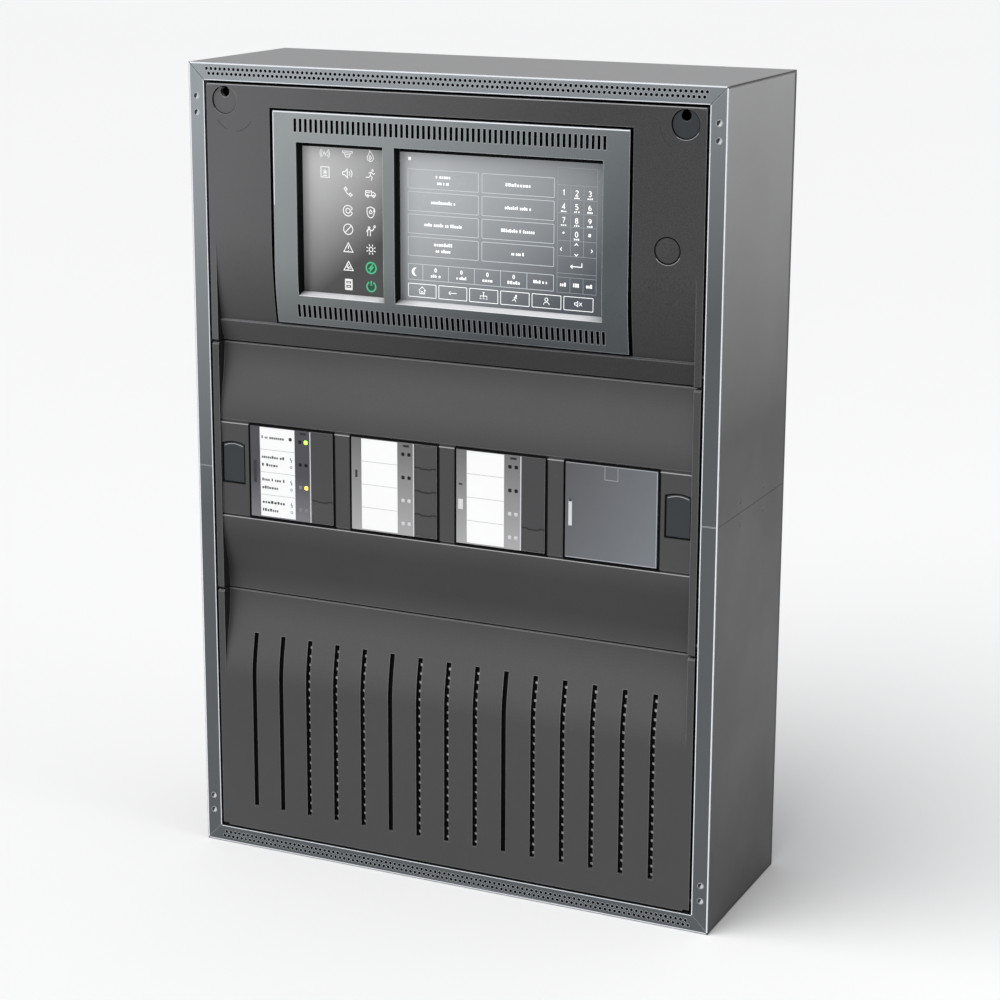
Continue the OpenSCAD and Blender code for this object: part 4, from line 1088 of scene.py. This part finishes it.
class PANEL_OT_screen_page(bpy.types.Operator):
    """Draws the page on the touch screen: outlined buttons, a status bar, a row of tool buttons and a keypad"""
    bl_idname = "alarm_panel.screen_page"
    bl_label = "Screen Page"

    button_size: bpy.props.FloatVectorProperty(name="Button size", description="Width and height of a large button",
                                               size=2,
                                               default=(0.0584, 0.0143), unit="LENGTH")

    def execute(self, context):
        s = context.scene.panel_print
        left, top = GLASS[0][0] + 8.3, GLASS[1][2] - 17.6
        wide, high = (v / MM for v in self.button_size)
        outlines, words, fills, digits_small = [], [], [], []
        seed = 1
        for row in range(4):
            for column in range(2):
                x0 = left + column * (wide + 3)
                z1 = top - row * 17.0
                outlines.append(rounded_box(x0, x0 + wide, z1 - high, z1, 0.5, 3))
                seed += 1
                width = ((12, 20), (20, 21), (31, 27), (15, 10))[row][column]
                words += greeked(x0 + wide / 2, z1 - high / 2, width, 2.5, seed,
                                 2 if (row, column) in ((0, 0), (3, 0)) else 1, 1.55)
        bar_top = top - 71.6
        right = left + 2 * wide + 3
        outlines.append(rounded_box(left, right, bar_top - 12, bar_top, 0.3, 3))
        cells = left + 12.2 + np.arange(5) * (right - left - 12.2) / 5
        outlines += [line((x, bar_top), (x, bar_top - 12)) for x in cells]
        for k, x in enumerate(cells):
            centre = x + (right - left - 12.2) / 10
            if k < 4:
                words += greeked(centre, bar_top - 8.2, 8 + 2 * (k == 3), 2.3, 30 + k, 1, 1.5)
                digits_small += digit("0", centre, bar_top - 3.8, 1.7)
            else:
                words += greeked(centre, bar_top - 6, 11, 2.3, 40, 1, 1.5)
        fills.append(patch(np.vstack([arc(left + 6, bar_top - 6, 3.2, 75, 285, 12),
                                      arc(left + 7.9, bar_top - 6, 3.1, 262, 98, 12)])))
        tool_top = top - 86.7
        tool_marks = [
            [line((-1, 0), (0, 1), (1, 0)), line((-0.7, 0.2), (-0.7, -0.8), (0.7, -0.8), (0.7, 0.2)),
             line((-0.2, -0.8), (-0.2, -0.2), (0.2, -0.2), (0.2, -0.8))],
            [line((1.1, 0), (-1.1, 0)), line((-0.6, 0.45), (-1.1, 0), (-0.6, -0.45))],
            [line((0, 0.9), (0, -0.4)), line((-0.9, -0.4), (-0.9, 0), (0.9, 0), (0.9, -0.4)),
             line((-0.3, 0.9), (0.3, 0.9)),
             line((-1.1, -0.7), (-0.6, -0.7)), line((-0.25, -0.7), (0.25, -0.7)), line((0.6, -0.7), (1.1, -0.7))],
            [arc(0.35, 0.75, 0.18, 0, 360, 10), line((-0.3, 0.2), (0.2, 0.42), (0.6, 0.05)),
             line((0.2, 0.42), (-0.05, -0.15), (0.35, -0.85)),
             line((-0.05, -0.15), (-0.7, -0.55))],
            [arc(0, 0.45, 0.42, 0, 360, 16), arc(0, -1.0, 0.8, 10, 170, 12)],
            [line((-1, 0.25), (-0.6, 0.25), (-0.15, 0.65), (-0.15, -0.65), (-0.6, -0.25), (-1, -0.25), (-1, 0.25)),
             line((0.25, 0.4), (0.95, -0.4)), line((0.25, -0.4), (0.95, 0.4))],
        ]
        tools = []
        for k, mark in enumerate(tool_marks):
            x0 = left + k * 25.65
            tools.append(rounded_box(x0, x0 + 23.3, tool_top - 10, tool_top, 0.4, 3))
            tools += scaled(mark, 3.0, x0 + 11.6, tool_top - 5)
        keys = []
        for k, text in enumerate("123456789*0#"):
            x, z = left + 127.4 + (k % 3) * 10.4, top - 10.1 - (k // 3) * 10.1
            keys += digit(text, x, z, 2.4)
            if text not in "1*#":
                words += greeked(x, z - 3.6, 4.2, 1.2, 60 + k, 1, 1.1)
        middle = left + 137.8
        keys += [line((middle - 11.6, top - 50.6), (middle - 12.8, top - 51.8), (middle - 11.6, top - 53.0)),
                 line((middle + 11.6, top - 50.6), (middle + 12.8, top - 51.8), (middle + 11.6, top - 53.0)),
                 line((middle - 1.4, top - 48.6), (middle, top - 47.0), (middle + 1.4, top - 48.6)),
                 line((middle - 1.4, top - 54.6), (middle, top - 56.2), (middle + 1.4, top - 54.6)),
                 line((middle + 4.5, top - 61.2), (middle + 4.5, top - 64.2), (middle - 4.5, top - 64.2)),
                 line((middle - 2.9, top - 62.9), (middle - 4.5, top - 64.2), (middle - 2.9, top - 65.5))]
        for k in range(3):
            words += greeked(left + 127.4 + k * 10.4, top - 78.0, 4.6, 2.8, 80 + k, 1, 1.9)
        pad = left + 122.6
        cells = [line((pad + 31.2, top + 8), (pad, top + 8), (pad, top - 84), (pad + 31.2, top - 84),
                      (pad + 31.2, top + 8))]
        cells += [line((pad, z), (pad + 31.2, z)) for z in (top - 4.6, top - 15.2, top - 25.2, top - 35.2, top - 45.4,
                                                            top - 56.8, top - 69.6, top - 72.6)]
        cells += [line((pad + x, top - 4.6), (pad + x, top - 56.8)) for x in (10.4, 20.8)]
        cells += [line((pad + x, top - 72.6), (pad + x, top - 84)) for x in (10.4, 20.8)]
        fills.append(box_fill(left + 0.4, left + 2.6, top + 6.6, top + 8.8))
        y = GLASS[0][1] - 0.05
        light = glowing("Page white", (0.88, 0.90, 0.90), s.page_light)
        pale = glowing("Page outline", (0.52, 0.56, 0.58), s.page_light * 0.5)
        width = s.page_line / MM
        faint = glowing("Page grid", (0.30, 0.34, 0.37), s.page_light * 0.25)
        print_marks("page_outlines", [strokes(outlines, width * 1.3)], y, "housing", pale, 0.05)
        print_marks("page_grid", [strokes(cells, width)], y + 0.01, "housing", faint, 0.04)
        print_marks("page_tools", [strokes(tools, width * 1.4)], y, "housing", light, 0.05)
        print_marks("page_keypad", [strokes(keys + digits_small, width * 1.9)], y, "housing", light,
                    0.05)
        print_marks("page_words", words + fills, y, "housing", light, 0.05)
        return {"FINISHED"}


class PANEL_OT_module_marks(bpy.types.Operator):
    """Prints the module labels, sets the lamps: lit, dark and pale, paints light on the first module's front, and
    paints shade in the gaps between keys and highlights along the edges of the fronts and the dummy plate
    """
    bl_idname = "alarm_panel.module_marks"
    bl_label = "Labels and Lamps"

    def lamps(self, name, places, radius, bulge, body, material):
        """Lamp lenses: the radius follows a squared circle, and the face swells by a quarter cosine towards the
        middle."""
        a, t = np.meshgrid(np.linspace(0, 2 * math.pi, 20, endpoint=False), np.linspace(1, 0.02, 6))
        square = radius / (np.abs(np.cos(a)) ** 4 + np.abs(np.sin(a)) ** 4) ** 0.25
        lens = np.stack([t * square * np.cos(a), -bulge * np.cos(t * math.pi / 2), t * square * np.sin(a)],
                        axis=-1).reshape(-1, 3)
        skirt = lens[:20] + np.array([0, 1.2, 0])
        shape = np.vstack([skirt, lens])
        points, quads = copies(shape, grid_quads(7, 20, wrap=True), places)
        return make_piece(name, points, quads[:, ::-1], body, material, smooth=True)

    def execute(self, context):
        s = context.scene.panel_print
        # the first module's front: painted light, paler towards the bottom
        smoke = finish("Dark smoke front", (0.035, 0.034, 0.046), rough=0.22, tone=0.04, bump=0.0, coat=0.3,
                       light_gradient=((0, 0, -1), 0.0, 0.037, (0.16, 0.155, 0.17)))
        paint(["module_1_fascia"], {slot_of("module_1_fascia"): smoke})
        ink = finish("Label ink", (0.02, 0.02, 0.02), rough=0.6)
        glint = finish("Front edge light", (0.66, 0.66, 0.68), rough=0.3, tone=0.1)
        faint = finish("Label rule", (0.40, 0.40, 0.41), rough=0.7)
        black = finish("Slot black", (0.004, 0.004, 0.004), rough=0.6)
        chalk = finish("Pale mark", (0.62, 0.62, 0.62), rough=0.5, tone=0.2)
        dark = finish("Unlit lamp", (0.004, 0.004, 0.005), rough=0.5, specular=0.2)
        pale = finish("Pale lamp", (0.58, 0.58, 0.60), rough=0.35, coat=0.2)
        dim = finish("Dim lamp", (0.16, 0.16, 0.18), rough=0.35, coat=0.2)
        green = glowing("Green lamp", (0.25, 0.95, 0.05), s.lamp_light)
        amber = glowing("Amber lamp", (1.0, 0.55, 0.06), s.lamp_light)
        rules, texts, slots, bars = [], [], [], []
        dark_at, pale_at, dim_at = [], [], []
        for k in (1, 2, 3):
            low, high = corners(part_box(f"module_{k}_label"))
            step = (high[2] - low[2] + 1.2) / 4
            fields = high[2] + 0.4 - step * np.arange(5)
            rules += [line((low[0] + 0.3, z), (high[0] - 0.3, z)) for z in fields[1:4]]
            lens_low, _ = corners(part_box(f"module_{k}_fascia"))
            x_led = lens_low[0] + np.array(LAMP_SIDES)
            z_led = (fields[:4] + fields[1:]) / 2
            y_led = lens_low[1] - 0.02
            slots.append(box_fill(lens_low[0] + 45.0, lens_low[0] + 50.2, high[2] - 3.0, high[2] - 1.3))
            where = lambda c, r: (x_led[c], y_led, z_led[r])
            if k == 1:
                for r, z in enumerate(z_led):
                    two = r > 0
                    for j in range(2 if two else 1):
                        width = 20 if j == 0 else 14
                        texts += greeked(low[0] + 1.6 + width / 2, z + (3.3 - 6.4 * j if two else 0.8), width, 2.3,
                                         10 * r + j, 1, 1.8)
                    if two:
                        texts += [ribbon(line((high[0] - 3.6, z + 4.6), (high[0] - 4.0, z + 3.0),
                                              (high[0] - 2.9, z + 2.6), (high[0] - 3.3, z + 0.6)), 0.6),
                                  ribbon(arc(high[0] - 3.4, z - 3.0, 0.9, 0, 360, 10), 0.35)]
                    else:
                        texts.append(patch(arc(high[0] - 3.8, z + 1.0, 1.5, 0, 360, 17)))
                dark_at += [where(0, 0), where(0, 1), where(1, 1)]
                dim_at += [where(0, 2), where(0, 3), where(1, 3)]
                self.lamps("lamp_on_green", [where(1, 0)], 1.55, 0.7, "housing", green)
                self.lamps("lamp_on_amber", [where(1, 2)], 1.5, 0.7, "housing", amber)
                bars.append(box_fill(lens_low[0] + 2.6, lens_low[0] + 5.4, -9, 9))
            else:
                dark_at += [where(c, r) for c in (0, 1) for r in (0, 1)]
                pale_at += [where(c, r) for c in (0, 1) for r in (2, 3)]
        body = "housing"
        label_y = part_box("module_1_label")[0][1] / MM
        face_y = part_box("module_1_fascia")[0][1] / MM
        piece = self.lamps("lamps_dark", dark_at, 1.42, 0.2, body, dark)
        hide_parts("module_1_leds", "module_2_leds", "module_3_leds")
        self.lamps("lamps_pale", pale_at, 1.45, 0.3, body, pale)
        self.lamps("lamps_dim", dim_at, 1.42, 0.2, body, dim)
        # painted shade: black lines over the gaps between the keys
        splits = []
        for k, rows in ((1, (1,)), (2, (1, 2, 3)), (3, (1,))):
            low, high = corners(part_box(f"module_{k}_fascia"))
            u0, u1 = (low[0] + side for side in KEY_SIDES)
            mid, tab = (u0 + u1) / 2, KEY_TAB
            for r in rows:
                z = low[2] + r * KEY_STEP
                splits.append(line((u0, z), (mid - 5.1, z), (mid - 4.1, z - tab), (mid + 4.1, z - tab),
                                   (mid + 5.1, z), (u1, z)))
        print_marks("key_gap_shade", [strokes(splits, 1.05)], face_y + 0.12, body, black, 0.05)
        # painted highlights along the right edges of the module fronts
        edges = []
        for k in (1, 2, 3):
            low, high = corners(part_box(f"module_{k}_fascia"))
            edges.append(upright(high[0] - 0.4, low[2] + 0.3, high[2] - 0.3, 0.8))
        print_marks("front_edges", edges, face_y - 0.03, body, glint, 0.04)
        # painted highlights along the dummy plate's right, lower and upper edges and around its tab
        low, high = corners(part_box("blank_plate"))
        plate = [ribbon(line((high[0] - 0.5, high[2] - 0.5), (high[0] - 0.5, low[2] + 0.5),
                             (low[0] + 0.5, low[2] + 0.5)), 0.6),
                 level(low[0] + 0.5, high[0] - 0.5, high[2] - 0.4, 0.5),
                 ribbon(line((SLOTS[3] - 5.2, high[2] - 0.6), (SLOTS[3] - 5.2, high[2] - 10.7),
                             (SLOTS[3] + 5.2, high[2] - 10.7),
                             (SLOTS[3] + 5.2, high[2] - 0.6)), 0.45)]
        soft = finish("Plate edge light", (0.34, 0.35, 0.37), rough=0.3, tone=0.1)
        print_marks("plate_edges", plate, low[1] - 0.03, body, soft, 0.04)
        print_marks("label_rules", [strokes(rules, 0.35)], label_y - 0.03, body, faint, 0.04)
        print_marks("label_words", texts, label_y - 0.03, body, ink, 0.04)
        print_marks("lamp_strip_slots", slots, face_y - 0.03, body, black, 0.04)
        low, _ = corners(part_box("blank_plate"))
        second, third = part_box("module_2_fascia")[0][0] / MM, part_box("module_3_fascia")[0][0] / MM
        pale_bars = [box_fill(low[0] + 2.6, low[0] + 5.4, -12, 8), box_fill(third + 1.6, third + 5.6, -10, -2)]
        bars += [box_fill(second + 3.2, second + 5.2, 5, 11), box_fill(low[0] + 2.8, low[0] + 5.2, 6.5, 8.5),
                 box_fill(third + 2.0, third + 5.0, 9, 10.4)]
        print_marks("pale_marks", pale_bars, face_y - 0.03, body, chalk, 0.04)
        print_marks("dark_marks", bars, face_y - 0.05, body, ink, 0.04)
        return {"FINISHED"}


class PANEL_OT_stage(bpy.types.Operator):
    """Makes the pale floor, the soft studio light and the camera"""
    bl_idname = "alarm_panel.stage"
    bl_label = "Stage"

    def execute(self, context):
        s = context.scene.panel_stage
        floor_z = CAD_LOW[2] - 0.0005
        step = np.linspace(-60, 60, 13)
        x, y = np.meshgrid(step, step)
        mesh = bpy.data.meshes.new("Floor")
        points = np.stack([x.ravel(), y.ravel(), np.full(x.size, floor_z)], axis=1)
        mesh.from_pydata(points.tolist(), [], grid_quads(13, 13).tolist())
        floor = bpy.data.objects.new("Floor", mesh)
        context.scene.collection.objects.link(floor)
        floor.data.materials.append(finish("Pale floor", (0.93, 0.93, 0.93), rough=0.8, grain=60.0, mottle=0.2,
                                           tone=0.01, bump=0.0))

        world = bpy.data.worlds.new("Studio")
        context.scene.world = world
        world.use_nodes = True
        background = world.node_tree.nodes["Background"]
        background.inputs[0].default_value = (0.97, 0.98, 1.0, 1.0)
        background.inputs[1].default_value = s.room_light

        def soft_light(name, place, aim, size, power):
            """An area light at a place, turned towards its aim."""
            data = bpy.data.lights.new(name, "AREA")
            data.shape = "RECTANGLE"
            data.size, data.size_y = size
            data.energy = power
            lamp = bpy.data.objects.new(name, data)
            lamp.location = place
            direction = np.array(aim, dtype=float) - np.array(place, dtype=float)
            flat = math.hypot(direction[0], direction[1])
            lamp.rotation_euler = Euler((math.atan2(flat, -direction[2]), 0, math.atan2(-direction[0], direction[1])))
            context.scene.collection.objects.link(lamp)

        sun = bpy.data.lights.new("Key light", "SUN")
        sun.energy = s.key_light
        sun.angle = s.key_spread
        key = bpy.data.objects.new("Key light", sun)
        key.rotation_euler = Vector((-0.36, -0.52, 0.78)).to_track_quat("Z", "Y").to_euler()
        context.scene.collection.objects.link(key)
        soft_light("Side light", (1.6, -0.3, 1.3), (0.22, -0.07, 0.25), (0.6, 0.6), s.side_power)

        data = bpy.data.cameras.new("Camera")
        data.sensor_width = 36
        data.lens = s.lens
        data.shift_y = s.shift
        camera = bpy.data.objects.new("Camera", data)
        camera.location = s.camera_place
        camera.rotation_mode = "QUATERNION"
        look = Euler((math.pi / 2 - s.tip, 0, s.turn)).to_quaternion()
        camera.rotation_quaternion = look @ Euler((0, 0, s.roll)).to_quaternion()
        context.scene.collection.objects.link(camera)
        context.scene.camera = camera
        context.scene.view_settings.view_transform = "Standard"
        return {"FINISHED"}


class PANEL_PT_sidebar(bpy.types.Panel):
    """Lists the steps that build the panel"""
    bl_idname = "PANEL_PT_sidebar"
    bl_label = "Alarm Panel"
    bl_space_type = "VIEW_3D"
    bl_region_type = "UI"
    bl_category = "Alarm Panel"

    def draw(self, context):
        layout = self.layout
        for operator in STEPS:
            layout.operator(operator.bl_idname)
        for group in ("panel_finish", "panel_print", "panel_stage"):
            box = layout.box()
            settings = getattr(context.scene, group)
            for name in settings.bl_rna.properties.keys():
                if name not in ("rna_type", "name"):
                    box.prop(settings, name)


STEPS = [PANEL_OT_housing, PANEL_OT_inner_parts, PANEL_OT_flange_marks, PANEL_OT_covers, PANEL_OT_seam_lines,
         PANEL_OT_controller, PANEL_OT_window_trim,
         PANEL_OT_symbols, PANEL_OT_screen_page, PANEL_OT_modules, PANEL_OT_module_marks, PANEL_OT_stage]
SETTINGS = {"panel_finish": PanelFinishSettings, "panel_print": PanelPrintSettings, "panel_stage": PanelStageSettings}


def register():
    """Adds the settings, the steps and the sidebar."""
    for cls in (*SETTINGS.values(), *STEPS, PANEL_PT_sidebar):
        bpy.utils.register_class(cls)
    for name, cls in SETTINGS.items():
        setattr(bpy.types.Scene, name, bpy.props.PointerProperty(type=cls))


def unregister():
    """Takes out what register added."""
    for name in SETTINGS:
        delattr(bpy.types.Scene, name)
    for cls in reversed((*SETTINGS.values(), *STEPS, PANEL_PT_sidebar)):
        bpy.utils.unregister_class(cls)


def main():
    """Runs every step in order."""
    register()
    for operator in STEPS:
        group, name = operator.bl_idname.split(".")
        getattr(getattr(bpy.ops, group), name)()


if __name__ == "__main__":
    main()
